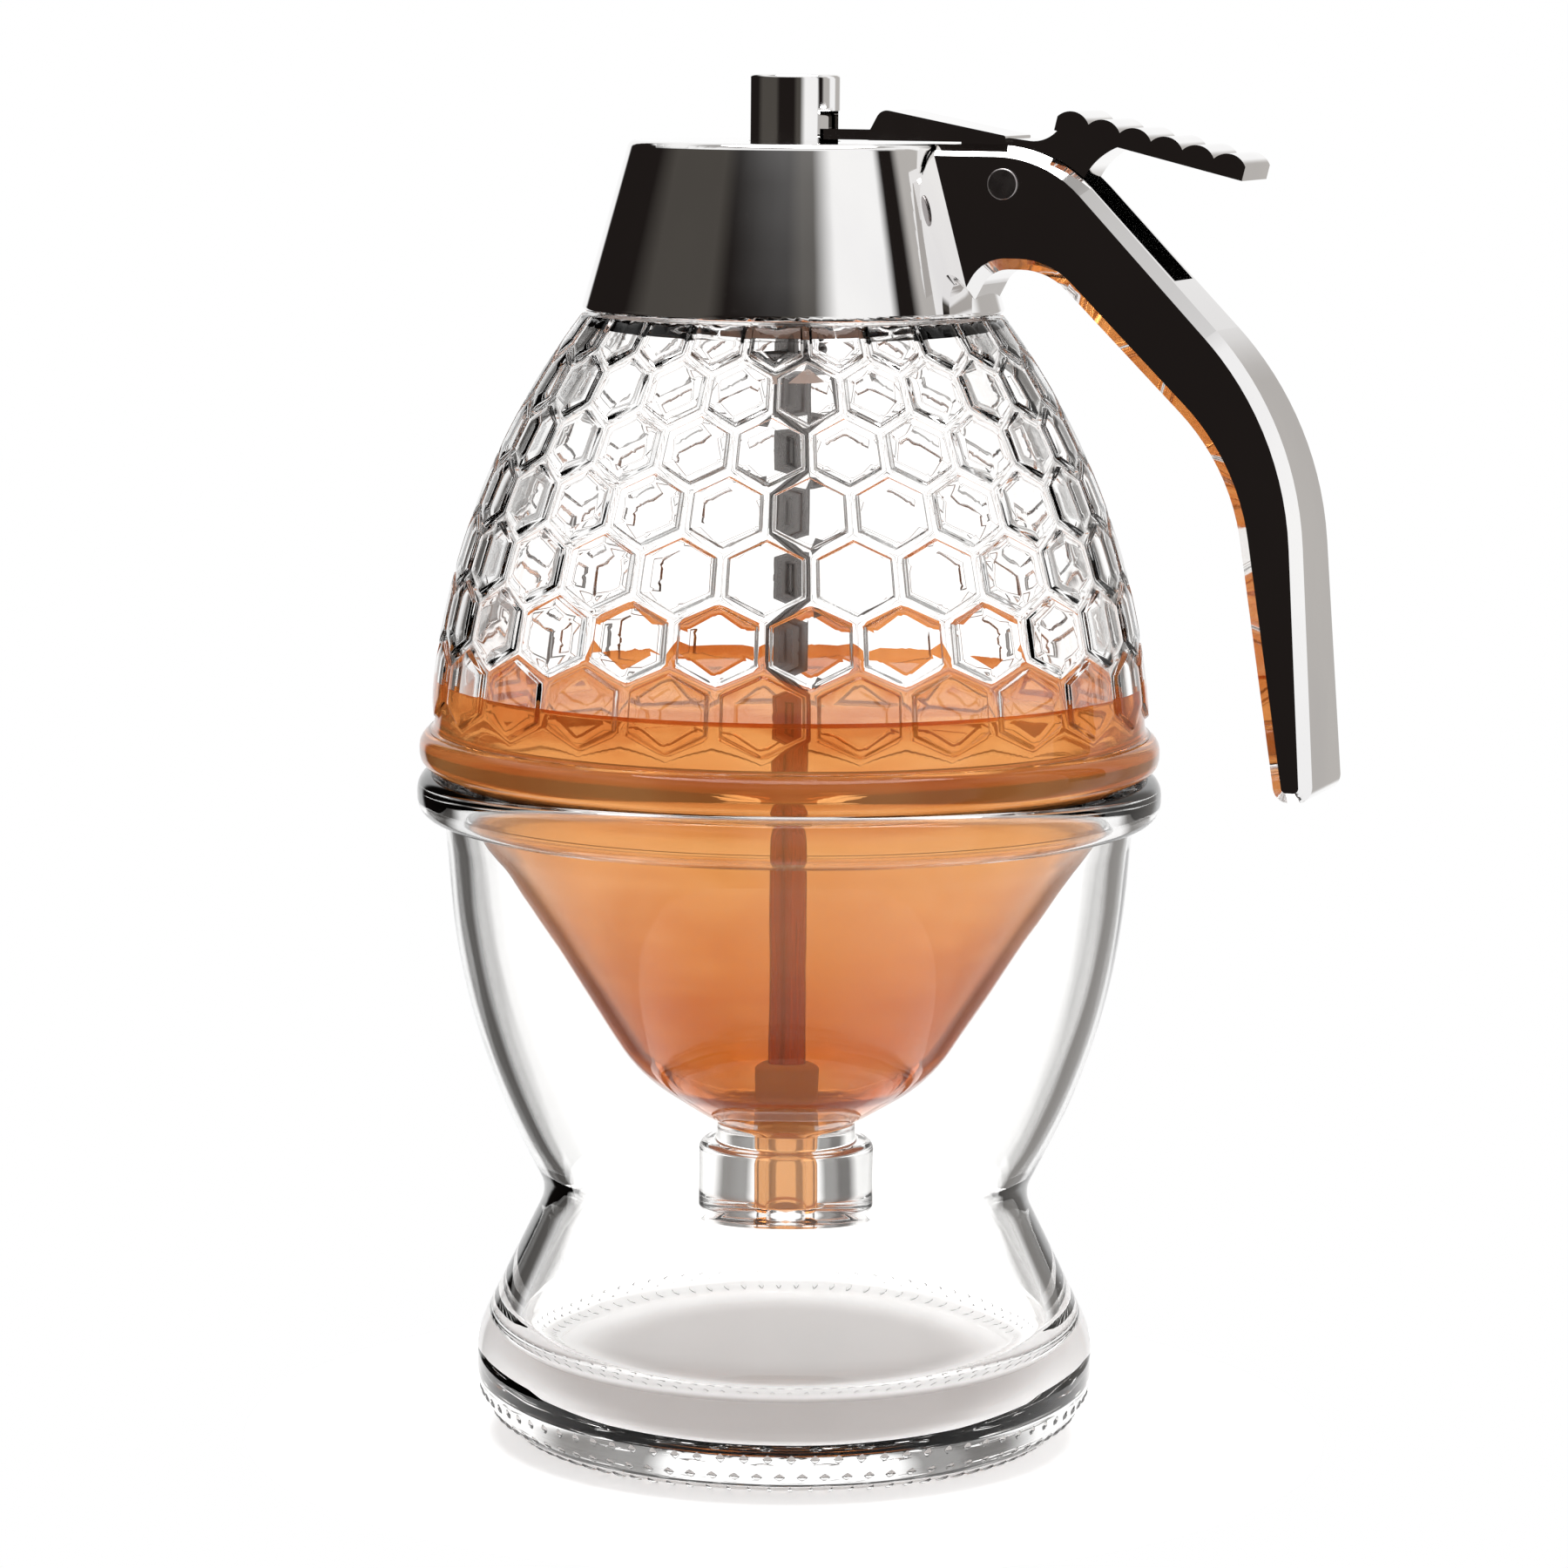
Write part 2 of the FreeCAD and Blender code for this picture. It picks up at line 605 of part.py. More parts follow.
def build_cap():
    """Cone and handle in one moulding, with the lever's slot and the plunger's hole."""
    top_z = size["cap_top_z"]
    wall = size["cap_wall"]
    end_z = size["handle_end_z"]
    reach = size["cap_low_r"] - 10
    shape = body("cap")
    low_width = size["handle_low_width"]
    handle = pad(shape, "XZ_Plane", rounded([
        (reach, top_z),
        (size["handle_bend_x"], top_z, size["handle_bend_curve"]),
        (size["handle_knee_x"], size["handle_knee_z"], size["handle_knee_curve"]),
        (size["handle_end_x"], end_z, size["handle_tip_curve"]),
        (size["palm_end_x"], end_z, size["handle_tip_curve"]),
        (size["palm_knee_x"], size["palm_knee_z"], size["palm_knee_curve"]),
        (size["arch_right_x"], size["arch_z"], size["arch_right_curve"]),
        (size["arch_left_x"], size["arch_z"], size["arch_left_curve"]),
        (size["arch_foot_x"], size["cap_z"]),
        (reach, size["cap_z"]),
    ]), low_width)
    half = size["handle_width"] / 2
    low_half = low_width / 2
    beyond = low_half + 1
    for side in (1, -1):
        pocket(shape, "YZ_Plane", [
            (half * side, top_z),
            (low_half * side, end_z),
            (beyond * side, end_z),
            (beyond * side, top_z),
        ], size["handle_end_x"] * 2 + 20)
    bevel(shape)
    revolve(shape, rounded([
        (0, size["cap_z"]),
        (size["cap_low_r"], size["cap_z"], 0.6),
        (size["cap_top_r"], top_z, size["cap_edge"]),
        (0, top_z),
    ]))
    inner_top = top_z - wall
    revolve(shape, [
        (0, size["cap_z"] - 1),
        (cap_radius(size["cap_z"] - 1) - wall, size["cap_z"] - 1),
        (cap_radius(inner_top) - wall, inner_top),
        (size["post_boss_r"], inner_top),
        (size["post_boss_r"], inner_top - size["post_boss_height"]),
        (0, inner_top - size["post_boss_height"]),
    ], cut=True)
    revolve(shape, [
        (0, size["cap_z"]),
        (size["post_r"] + size["running_fit"], size["cap_z"]),
        (size["post_r"] + size["running_fit"], top_z + 1),
        (0, top_z + 1),
    ], cut=True)
    slope_x = size["handle_knee_x"] - size["handle_bend_x"]
    slope_z = size["handle_knee_z"] - top_z
    slope = root(slope_x * slope_x + slope_z * slope_z)
    along_x = slope_x / slope
    along_z = slope_z / slope
    end_x = size["slot_end_x"]
    slot_end_z = top_z + (end_x - size["handle_bend_x"]) * slope_z / slope_x
    floor_x = end_x + along_z * size["slot_depth"]
    floor_z = slot_end_z - along_x * size["slot_depth"]
    pocket(shape, "XZ_Plane", [
        (size["slot_start_x"], top_z + 2),
        (size["slot_start_x"], size["slot_floor_z"]),
        (floor_x + (size["slot_floor_z"] - floor_z) * along_x / along_z, size["slot_floor_z"]),
        (floor_x, floor_z),
        (end_x - along_z * 2, slot_end_z + along_x * 2),
        (end_x - along_z * 2, top_z + 2),
    ], size["slot_width"])
    round_pocket(shape, size["pivot_x"], size["pivot_z"], size["pin_r"] + size["press_fit"],
                 size["handle_width"] + 2)
    return shape


def bevel(shape):
    """Bevel along every long edge of the handle, round its lower end too."""
    picked = []
    for number, edge in enumerate(shape.Shape.Edges, start=1):
        box = edge.BoundBox
        middle = edge.valueAt((edge.FirstParameter + edge.LastParameter) / 2)
        across = box.YMin < -0.1 and box.YMax > 0.1
        upright = abs(middle.x - (amount("cap_low_r") - 10)) < 0.01
        under = abs(middle.z - amount("cap_z")) < 0.01 and middle.x < amount("arch_right_x")
        if not (across or upright or under):
            picked.append(f"Edge{number}")
    handle = shape.Tip
    made = shape.newObject("PartDesign::Chamfer", "cap_bevel")
    made.Base = (handle, picked)
    made.Size = amount("handle_bevel")
    made.setExpression("Size", size["handle_bevel"].text)
    doc.recompute()


def round_pocket(shape, x, z, radius, width):
    """Round hole across the piece, along Y."""
    sketch = shape.newObject("Sketcher::SketchObject", f"{shape.Name}_hole")
    sketch.AttachmentSupport = [(origin_plane(shape, "XZ_Plane"), "")]
    sketch.MapMode = "FlatFace"
    centre = FreeCAD.Vector(x.value, z.value, 0)
    index = sketch.addGeometry(Part.Circle(centre, FreeCAD.Vector(0, 0, 1), radius.value), False)
    for kind, where in (("DistanceX", x), ("DistanceY", z)):
        rule = sketch.addConstraint(Sketcher.Constraint(kind, -1, 1, index, 3, where.value))
        sketch.setExpression(f"Constraints[{rule}]", where.text)
    rule = sketch.addConstraint(Sketcher.Constraint("Radius", index, radius.value))
    sketch.setExpression(f"Constraints[{rule}]", radius.text)
    doc.recompute()
    made = shape.newObject("PartDesign::Pocket", f"{shape.Name}_bore")
    made.Profile = sketch
    made.Midplane = True
    made.Length = width.value
    made.setExpression("Length", width.text)
    doc.recompute()
    return made


def build_liner():
    """Threaded liner of the cap: a sleeve over the neck and a disc with a well for the post."""
    bore = size["liner_bore_r"]
    low_z = size["cap_z"] + 0.3
    flange_z = low_z + size["liner_flange"]
    disc_z = size["neck_z"] + size["seat_gap"] * 2 + size["gasket_height"]
    wall = size["liner_wall"]
    gap = size["cap_wall"] + size["liner_gap"]
    well_z = size["well_floor_z"] - size["well_wall"]
    return turned("cap_liner", [
        (bore, low_z),
        (cap_radius(low_z) - gap, low_z),
        (cap_radius(flange_z) - gap, flange_z),
        (bore + wall, flange_z),
        (bore + wall, disc_z + size["well_wall"]),
        (size["well_r"], disc_z + size["well_wall"]),
        (size["well_r"], size["well_floor_z"]),
        (size["guide_r"] + size["press_fit"], size["well_floor_z"]),
        (size["guide_r"] + size["press_fit"], well_z),
        (size["well_r"] + size["well_wall"], well_z),
        (size["well_r"] + size["well_wall"], disc_z),
        (bore, disc_z),
    ])


def build_gasket():
    low_z = size["neck_z"] + size["seat_gap"]
    top_z = low_z + size["gasket_height"]
    return turned("cap_gasket", rounded([
        (size["mouth_r"] - 0.4, low_z, 0.3),
        (size["neck_r"] + 0.4, low_z, 0.3),
        (size["neck_r"] + 0.4, top_z, 0.3),
        (size["mouth_r"] - 0.4, top_z, 0.3),
    ]))


def build_guide():
    """Rod guide, pressed into the floor of the well from below."""
    seat_z = size["well_floor_z"] - size["well_wall"]
    low_z = seat_z - size["guide_flange"]
    bore = size["rod_r"] + size["running_fit"]
    return turned("rod_guide", rounded([
        (bore, low_z),
        (size["guide_flange_r"], low_z, 0.4),
        (size["guide_flange_r"], seat_z),
        (size["guide_r"], seat_z),
        (size["guide_r"], size["well_floor_z"]),
        (bore, size["well_floor_z"]),
    ]))


def handle_half_width(height):
    """Half the handle's width at a height; its sides taper straight."""
    fall = (size["cap_top_z"] - height) / (size["cap_top_z"] - size["handle_end_z"])
    return size["handle_width"] / 2 + (size["handle_low_width"] - size["handle_width"]) / 2 * fall


def build_pin():
    """Pivot pin with a low head on each side of the handle."""
    half = handle_half_width(size["pivot_z"] - size["pin_head_r"]) + 0.02
    head = size["pin_head_height"]
    shape = body("lever_pin")
    revolve(shape, rounded([
        (0, -half - head),
        (size["pin_head_r"], -half - head, 0.25),
        (size["pin_head_r"], -half),
        (size["pin_r"], -half),
        (size["pin_r"], half),
        (size["pin_head_r"], half),
        (size["pin_head_r"], half + head, 0.25),
        (0, half + head),
    ]))
    shape.Placement = FreeCAD.Placement(
        FreeCAD.Vector(amount("pivot_x"), 0, amount("pivot_z")),
        FreeCAD.Rotation(FreeCAD.Vector(1, 0, 0), 90))
    shape.setExpression("Placement.Base.x", size["pivot_x"].text)
    shape.setExpression("Placement.Base.z", size["pivot_z"].text)
    return shape


def build_lever():
    """Arm over the cap, web with the pivot in the slot, stem and scalloped thumb pad."""
    top_z = size["cap_top_z"]
    pivot_x = size["pivot_x"]
    pivot_z = size["pivot_z"]
    arm_z = top_z + size["arm_gap"]
    hub = size["hub_r"]
    toe_z = size["post_slot_roof_z"] - size["toe_gap"]
    web_front = size["slot_start_x"] + 0.7
    lift = sine(size["pad_slope"])
    run = cosine(size["pad_slope"])
    pad_x = size["pad_front_x"]
    pad_z = size["pad_front_z"]
    shape = body("lever")
    pad(shape, "XZ_Plane", rounded([
        (size["arm_tip_x"], arm_z, 0.4),
        (pivot_x, arm_z),
        (pivot_x, arm_z + size["arm_end_height"], 0.3),
        (size["arm_top_x"], arm_z + size["arm_tip_height"], 1.6),
    ]), size["arm_width"])
    pad(shape, "XZ_Plane", [
        (web_front, arm_z + 0.6),
        (web_front, pivot_z + hub * 0.7),
        (pivot_x - hub * 0.87, pivot_z - hub * 0.5, hub, -1),
        (pivot_x + hub * 0.5, pivot_z - hub * 0.87),
        (size["stem_back_x"], size["stem_back_z"], 9.0, 1),
        (pad_x + run * 9.0, pad_z - lift * 9.0 + 0.2),
        (pad_x, pad_z + 0.2, 4.5, 1),
        (size["stem_front_x"], arm_z + 0.3),
        (pivot_x, arm_z + 0.6),
    ], size["slot_width"] - size["web_gap"] * 2)
    pad(shape, "XZ_Plane", rounded([
        (size["tongue_end_x"], arm_z, 0.3),
        (size["arm_top_x"] + 2, arm_z),
        (size["arm_top_x"] + 2, arm_z + size["tongue_thickness"]),
        (size["tongue_end_x"] + size["toe_length"], arm_z + size["tongue_thickness"]),
        (size["tongue_end_x"] + size["toe_length"], toe_z, 0.6),
        (size["tongue_end_x"], toe_z, 0.6),
    ]), size["tongue_width"])
    count = round(amount("scallop_count"))
    pitch = size["pad_length"] / size["scallop_count"]
    thick = size["pad_thickness"]
    rise = size["scallop_height"]
    bow = rise / 2 + pitch * pitch / (rise * 8)

    def on_pad(along, up):
        return (pad_x + run * along + lift * up, pad_z - lift * along + run * up)

    outline = [on_pad(0, 0), on_pad(size["pad_length"], 0)]
    for k in range(count, 0, -1):
        outline.append(on_pad(pitch * k, thick) + (bow, -1))
    outline.append(on_pad(0, thick))
    pad(shape, "XZ_Plane", outline, size["pad_width"])
    round_pocket(shape, pivot_x, pivot_z, size["pin_r"] + size["running_fit"],
                 size["slot_width"] + 2)
    return shape


def build_post():
    """Chromed post on the rod, with the slot for the lever's tongue."""
    shape = body("plunger_post")
    bore = size["rod_r"] + size["press_fit"]
    revolve(shape, rounded([
        (bore, size["post_low_z"]),
        (size["post_r"], size["post_low_z"], 0.4),
        (size["post_r"], size["post_top_z"], size["post_edge"]),
        (0, size["post_top_z"] - 0.6),
        (0, size["rod_top_z"] + 0.1),
        (bore, size["rod_top_z"] + 0.1),
    ]))
    roof = size["post_slot_roof_z"]
    floor = size["post_slot_floor_z"]
    pocket(shape, "XZ_Plane", [
        (size["post_slot_end_x"], floor),
        (size["post_r"] + 2, floor),
        (size["post_r"] + 2, roof),
        (size["post_slot_end_x"], roof),
    ], size["post_slot_width"])
    return shape


def build_rod():
    return turned("plunger_rod", rounded([
        (0, size["rod_low_z"]),
        (size["rod_r"], size["rod_low_z"], 0.5),
        (size["rod_r"], size["rod_top_z"], 0.5),
        (0, size["rod_top_z"]),
    ]))


def build_collar():
    """Collar on the rod that carries the spring's lower end."""
    bore = size["rod_r"] + size["press_fit"]
    top_z = size["collar_z"] + size["collar_height"]
    return turned("spring_collar", rounded([
        (bore, size["collar_z"]),
        (size["collar_r"] - 1.2, size["collar_z"], 0.4),
        (size["collar_r"], top_z - 1.2),
        (size["collar_r"], top_z, 0.3),
        (bore, top_z),
    ]))


def build_stopper():
    """Silicone stopper on the rod's end; its nose follows the conical seat."""
    bore = size["rod_r"] + size["press_fit"]
    slope = (size["seat_top_z"] - size["outlet_z"]) / (size["seat_top_r"] - size["outlet_r"])
    lift = size["stopper_gap"] * root(slope * slope + 1)
    nose_z = size["outlet_z"] + (size["stopper_nose_r"] - size["outlet_r"]) * slope + lift
    cheek_z = size["outlet_z"] + (size["stopper_r"] - size["outlet_r"]) * slope + lift
    return turned("stopper", rounded([
        (0, nose_z),
        (size["stopper_nose_r"], nose_z),
        (size["stopper_r"], cheek_z, 0.6),
        (size["stopper_r"], size["stopper_top_z"], 1.4),
        (bore, size["stopper_top_z"]),
        (bore, size["rod_low_z"] - 0.05),
        (0, size["rod_low_z"] - 0.05),
    ]))


def coil_points(low_z, high_z):
    """Quarter-turn points of the spring with their directions: closed turn, open turns, closed."""
    closed = amount("spring_end_pitch")
    turns = round(amount("spring_turns"))
    free = high_z - low_z - 2 * amount("wire_r")
    open_pitch = (free - 2 * closed) / turns
    radius = amount("spring_r")
    points = []
    height = low_z + amount("wire_r")
    for quarter in range(4 * (turns + 2) + 1):
        turn = pi / 2 * quarter
        closed_here = quarter < 4 or quarter > 4 * (turns + 1)
        pitch = closed if closed_here else open_pitch
        if quarter in (4, 4 * (turns + 1)):
            pitch = (closed + open_pitch) / 2
        way = FreeCAD.Vector(-radius * sin(turn), radius * cos(turn), pitch / (2 * pi))
        way.normalize()
        points.append((FreeCAD.Vector(radius * cos(turn), radius * sin(turn), height), way))
        rising = closed if quarter < 4 or quarter >= 4 * (turns + 1) else open_pitch
        height += rising / 4
    return points, open_pitch


def biarc(start, start_way, end, end_way):
    """Two tangent arcs from one point and direction to another."""
    span = end - start
    both = start_way + end_way
    along = span.dot(both)
    spread = 2 * (1 - start_way.dot(end_way))
    reach = (sqrt(along * along + span.dot(span) * spread) - along) / spread
    first = start + start_way * reach
    second = end - end_way * reach
    joint = (first + second) * 0.5
    arcs = []
    for a, corner, b in ((start, first, joint), (joint, second, end)):
        chord = (a + b) * 0.5
        half = (b - a).Length / 2
        height = (corner - chord).Length
        ray = hypot(half, height)
        sagitta = half * (ray - half) / height
        toward = corner - chord
        toward.normalize()
        arcs.append(Part.Arc(a, chord + toward * sagitta, b))
    return arcs


def build_spring():
    """Compression spring between the collar and the rod guide: one unbroken wire."""
    low_z = amount("collar_z") + amount("collar_height") + amount("spring_seat")
    high_z = (amount("well_floor_z") - amount("well_wall") - amount("guide_flange")
              - amount("spring_seat"))
    wire = amount("wire_r")
    points, pitch = coil_points(low_z, high_z)
    edges = []
    start, way = points[0]
    tail = start - FreeCAD.Vector(way.x, way.y, 0) * (2 * wire)
    edges.append(Part.LineSegment(tail, start).toShape())
    for (a, a_way), (b, b_way) in zip(points, points[1:]):
        edges += [arc.toShape() for arc in biarc(a, a_way, b, b_way)]
    finish, way = points[-1]
    tip = finish + FreeCAD.Vector(way.x, way.y, 0) * (2 * wire)
    edges.append(Part.LineSegment(finish, tip).toShape())
    path = Part.Wire(edges)
    ring = Part.Circle(tail, start - tail, wire).toShape()
    made = doc.addObject("Part::Feature", "return_spring")
    made.Shape = path.makePipeShell([Part.Wire([ring])], True, False)
    print("spring: pitch", round(pitch, 3), "least gap",
          round(min(pitch, amount("spring_end_pitch")) - 2 * wire, 3),
          "volume", round(made.Shape.Volume, 2), "of", round(path.Length * pi * wire ** 2, 2))
    return made


pieces = [
    build_stand(),
    build_jar(),
    build_gasket(),
    build_cap(),
    build_liner(),
    build_guide(),
    build_pin(),
    build_lever(),
    build_post(),
    build_rod(),
    build_collar(),
    build_spring(),
    build_stopper(),
]
doc.recompute()

for item in doc.Objects:
    if "Invalid" in item.State or "Error" in item.State:
        raise RuntimeError(f"{item.Name}: {item.State}")
for piece in pieces:
    if piece.Shape.isNull() or not piece.Shape.isValid() or len(piece.Shape.Solids) != 1:
        raise RuntimeError(f"{piece.Label} is not one valid solid")

os.makedirs("parts", exist_ok=True)
for piece in pieces:
    piece.Shape.exportStep(f"parts/{piece.Label}.step")
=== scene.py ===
import math

import bmesh
import bpy
from mathutils import Matrix, Vector


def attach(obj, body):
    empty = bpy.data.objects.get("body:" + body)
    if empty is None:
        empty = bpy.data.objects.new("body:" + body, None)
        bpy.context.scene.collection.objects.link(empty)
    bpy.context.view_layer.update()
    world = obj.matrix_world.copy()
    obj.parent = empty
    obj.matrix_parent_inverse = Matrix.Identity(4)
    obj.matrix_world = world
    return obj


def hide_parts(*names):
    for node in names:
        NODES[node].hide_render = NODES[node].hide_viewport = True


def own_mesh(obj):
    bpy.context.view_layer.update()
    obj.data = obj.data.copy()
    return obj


# Honey dispenser: glass stand, honeycomb jar with honey, chromed cap with pistol handle and thumb
# lever.  Sizes are in millimetres unless a comment says otherwise; MM turns them into metres.
# R is a radius round the dispenser's axis, Z a height over the table.

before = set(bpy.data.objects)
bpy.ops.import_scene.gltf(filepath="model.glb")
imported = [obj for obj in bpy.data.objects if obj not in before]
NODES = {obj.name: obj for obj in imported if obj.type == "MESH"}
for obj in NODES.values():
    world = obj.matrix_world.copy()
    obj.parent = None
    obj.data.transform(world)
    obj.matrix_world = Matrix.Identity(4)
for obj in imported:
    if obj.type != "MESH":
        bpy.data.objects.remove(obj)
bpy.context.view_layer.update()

MM = 0.001

# Stand
FOOT_R = 42.9
FOOT_EDGE = 10.2                # rounding of the foot's lower edge
FOOT_Z = 13.9                   # where the foot turns in to the waist
WAIST_R, WAIST_Z, WAIST_CURVE = 32.9, 34.3, 5.5
BELLY_R, BELLY_Z, BELLY_CURVE = 44.9, 57.8, 96.0
COLLAR_R, COLLAR_Z = 47.3, 86.0
RIM_R, RIM_EDGE = 51.1, 2.7
RIM_LOW, RIM_TOP = 87.2, 93.0
STAND_FLOOR = 11.7
STAND_TURNS = 288               # vertices in each ring

# Marks on the foot's rounded edge: how far down it faces there in degrees, shift in marks,
# length along the side view, width round the foot
MARK_ROWS = ((22, 0.0, 1.5, 1.3), (41, 0.5, 1.7, 1.5), (68, 0.0, 3.4, 0.9))
MARKS_ROUND = 84
MARK_HEIGHT = 0.28

# Jar
GLASS_WALL = 3.0
SPOUT_R, SPOUT_TOP = 12.1, 41.6
GROOVE_R, GROOVE_TOP = 9.6, 44.4
FLANGE_R, FLANGE_LOW, FLANGE_TOP = 50.8, 93.2, 98.5
BOWL_OUT_R = 43.6
EGG_CURVE = 101.4               # radius of the egg's side view
EGG_R, EGG_Z = 48.9, 93.5       # its widest place
EGG_STEPS = 30
SHOULDER_Z = 155.2
NECK_R, NECK_BORE, NECK_TOP = 19.6, 17.0, 168.5
BOWL_R, BOWL_TOP = 40.8, 93.0
BOWL_Z, BOWL_CURVE = 87.44, 13.2
FUNNEL_R, FUNNEL_Z, FUNNEL_CURVE = 18.64, 53.0, 19.2
SEAT_R, SEAT_TOP, SEAT_LOW = 7.4, 46.4, 42.6
OUTLET_R, OUTLET_Z = 2.75, 32.0

# Honeycomb
CELLS = 24                      # in each row
ROWS = 7
CELLS_FROM = 99.4               # where the jar's side view goes over into the lowest row
PHASE = 0.8                     # degrees round the jar to the first cell
FIRST_ROW = 7.1                 # degrees up the egg's side view
ROW_PITCH, ROW_TAPER = 5.15, 0.13
SIDE_STEPS = 6                  # divisions of a cell's side
CELL_RINGS = (                  # share of the way from the centre, height over the groove
    (1.0, 0.0), (0.895, 0.0), (0.875, 0.04), (0.845, 0.30), (0.815, 0.56), (0.795, 0.60),
    (0.55, 0.62), (0.25, 0.63))

# Honey
HONEY_LEVEL = 104.0
SOAK = 0.15                     # how far it is drawn into the glass wall
HONEY_TURNS = 192

# Screw threads, each between the neck and the liner: where the ridge starts, radius of its crest
THREAD_RIDGE, THREAD_PITCH, THREAD_TURNS = 0.7, 3.5, 1.75
NECK_THREAD_Z, NECK_CREST_R = 159.0, 20.1
LINER_THREAD_Z, LINER_CREST_R = 157.25, 20.3

# Meshes: longest side of a rounding's facets and along a straight run
ROUND_SPACING = 0.9
RUN_SPACING = 4.0

# Photograph's view: 20 degrees round towards the handle
AZIMUTH = math.radians(20)
CAMERA_DISTANCE, CAMERA_HEIGHT = 750.0, 195.0
CAMERA_TILT, CAMERA_ROLL = math.radians(7.913), math.radians(0.5)


# Node trees

class Wire:
    """A socket in a node tree; arithmetic on it adds Math nodes."""

    def __init__(self, tree, socket):
        self.tree = tree
        self.socket = socket

    def calculate(self, operation, *terms):
        return self.tree.node("ShaderNodeMath", {"operation": operation},
                              dict(enumerate(terms)))

    def __add__(self, other):
        return self.calculate("ADD", self, other)

    def __radd__(self, other):
        return self.calculate("ADD", other, self)

    def __sub__(self, other):
        return self.calculate("SUBTRACT", self, other)

    def __rsub__(self, other):
        return self.calculate("SUBTRACT", other, self)

    def __mul__(self, other):
        return self.calculate("MULTIPLY", self, other)

    def __rmul__(self, other):
        return self.calculate("MULTIPLY", other, self)

    def __truediv__(self, other):
        return self.calculate("DIVIDE", self, other)

    def __rtruediv__(self, other):
        return self.calculate("DIVIDE", other, self)

    def __mod__(self, other):
        return self.calculate("FLOORED_MODULO", self, other)

    def __rmod__(self, other):
        return self.calculate("FLOORED_MODULO", other, self)

    def floor(self):
        return self.calculate("FLOOR", self)

    def sin(self):
        return self.calculate("SINE", self)

    def cos(self):
        return self.calculate("COSINE", self)

    def least(self, other):
        return self.calculate("MINIMUM", self, other)

    def within(self, low, high):
        """0 below low, 1 above high, smooth between."""
        return self.tree.node("ShaderNodeMapRange", {"interpolation_type": "SMOOTHSTEP"},
                              {"Value": self, "From Min": low, "From Max": high})


class Tree:
    """A node tree built by expressions."""

    def __init__(self, group):
        self.group = group

    def node(self, kind, settings=None, feeds=None, output=0):
        made = self.group.nodes.new(kind)
        for name, value in (settings or {}).items():
            if name == "stops":
                self.set_stops(made.color_ramp, value)
            else:
                setattr(made, name, value)
        for name, value in (feeds or {}).items():
            self.feed(made.inputs[name], value)
        return Wire(self, made.outputs[output])

    def feed(self, socket, value):
        if isinstance(value, Wire):
            self.group.links.new(value.socket, socket)
        else:
            socket.default_value = value

    @staticmethod
    def set_stops(ramp, stops):
        while len(ramp.elements) < len(stops):
            ramp.elements.new(1.0)
        for element, (place, colour) in zip(ramp.elements, stops):
            element.position = place
            element.color = (*colour, 1.0)

    def mix(self, share, first, second):
        """Colours mixed; share 1 gives the second."""
        return self.node("ShaderNodeMix", {"data_type": "RGBA"},
                         {0: share, 6: first, 7: second}, output=2)

    def parts(self, vector):
        split = self.node("ShaderNodeSeparateXYZ", feeds={0: vector})
        outputs = split.socket.node.outputs
        return [Wire(self, outputs[k]) for k in range(3)]


class Finish(Tree):
    """A procedural material for one of the dispenser's surfaces."""

    def __init__(self, name, **fixed):
        self.material = bpy.data.materials.new(name)
        self.material.use_nodes = True
        super().__init__(self.material.node_tree)
        self.shader = self.group.nodes["Principled BSDF"]
        for socket, value in fixed.items():
            self.shader.inputs[socket.replace("_", " ")].default_value = value

    def place(self):
        return self.node("ShaderNodeTexCoord", output="Object")

    def height(self):
        """In metres over the table, as is every place on an object that stands at the origin."""
        return self.parts(self.place())[2]

    def stretched(self, scale):
        return self.node("ShaderNodeMapping", feeds={0: self.place(), 3: scale})

    def noise(self, scale, detail, where=None):
        return self.node("ShaderNodeTexNoise", feeds={
            "Vector": where or self.place(), "Scale": scale, "Detail": detail})

    def set(self, **sockets):
        for socket, value in sockets.items():
            self.feed(self.shader.inputs[socket.replace("_", " ")], value)
        return self

    def bump(self, height, depth):
        relief = self.node("ShaderNodeBump", feeds={
            "Strength": 1.0, "Distance": depth * MM, "Height": height})
        return self.set(Normal=relief)


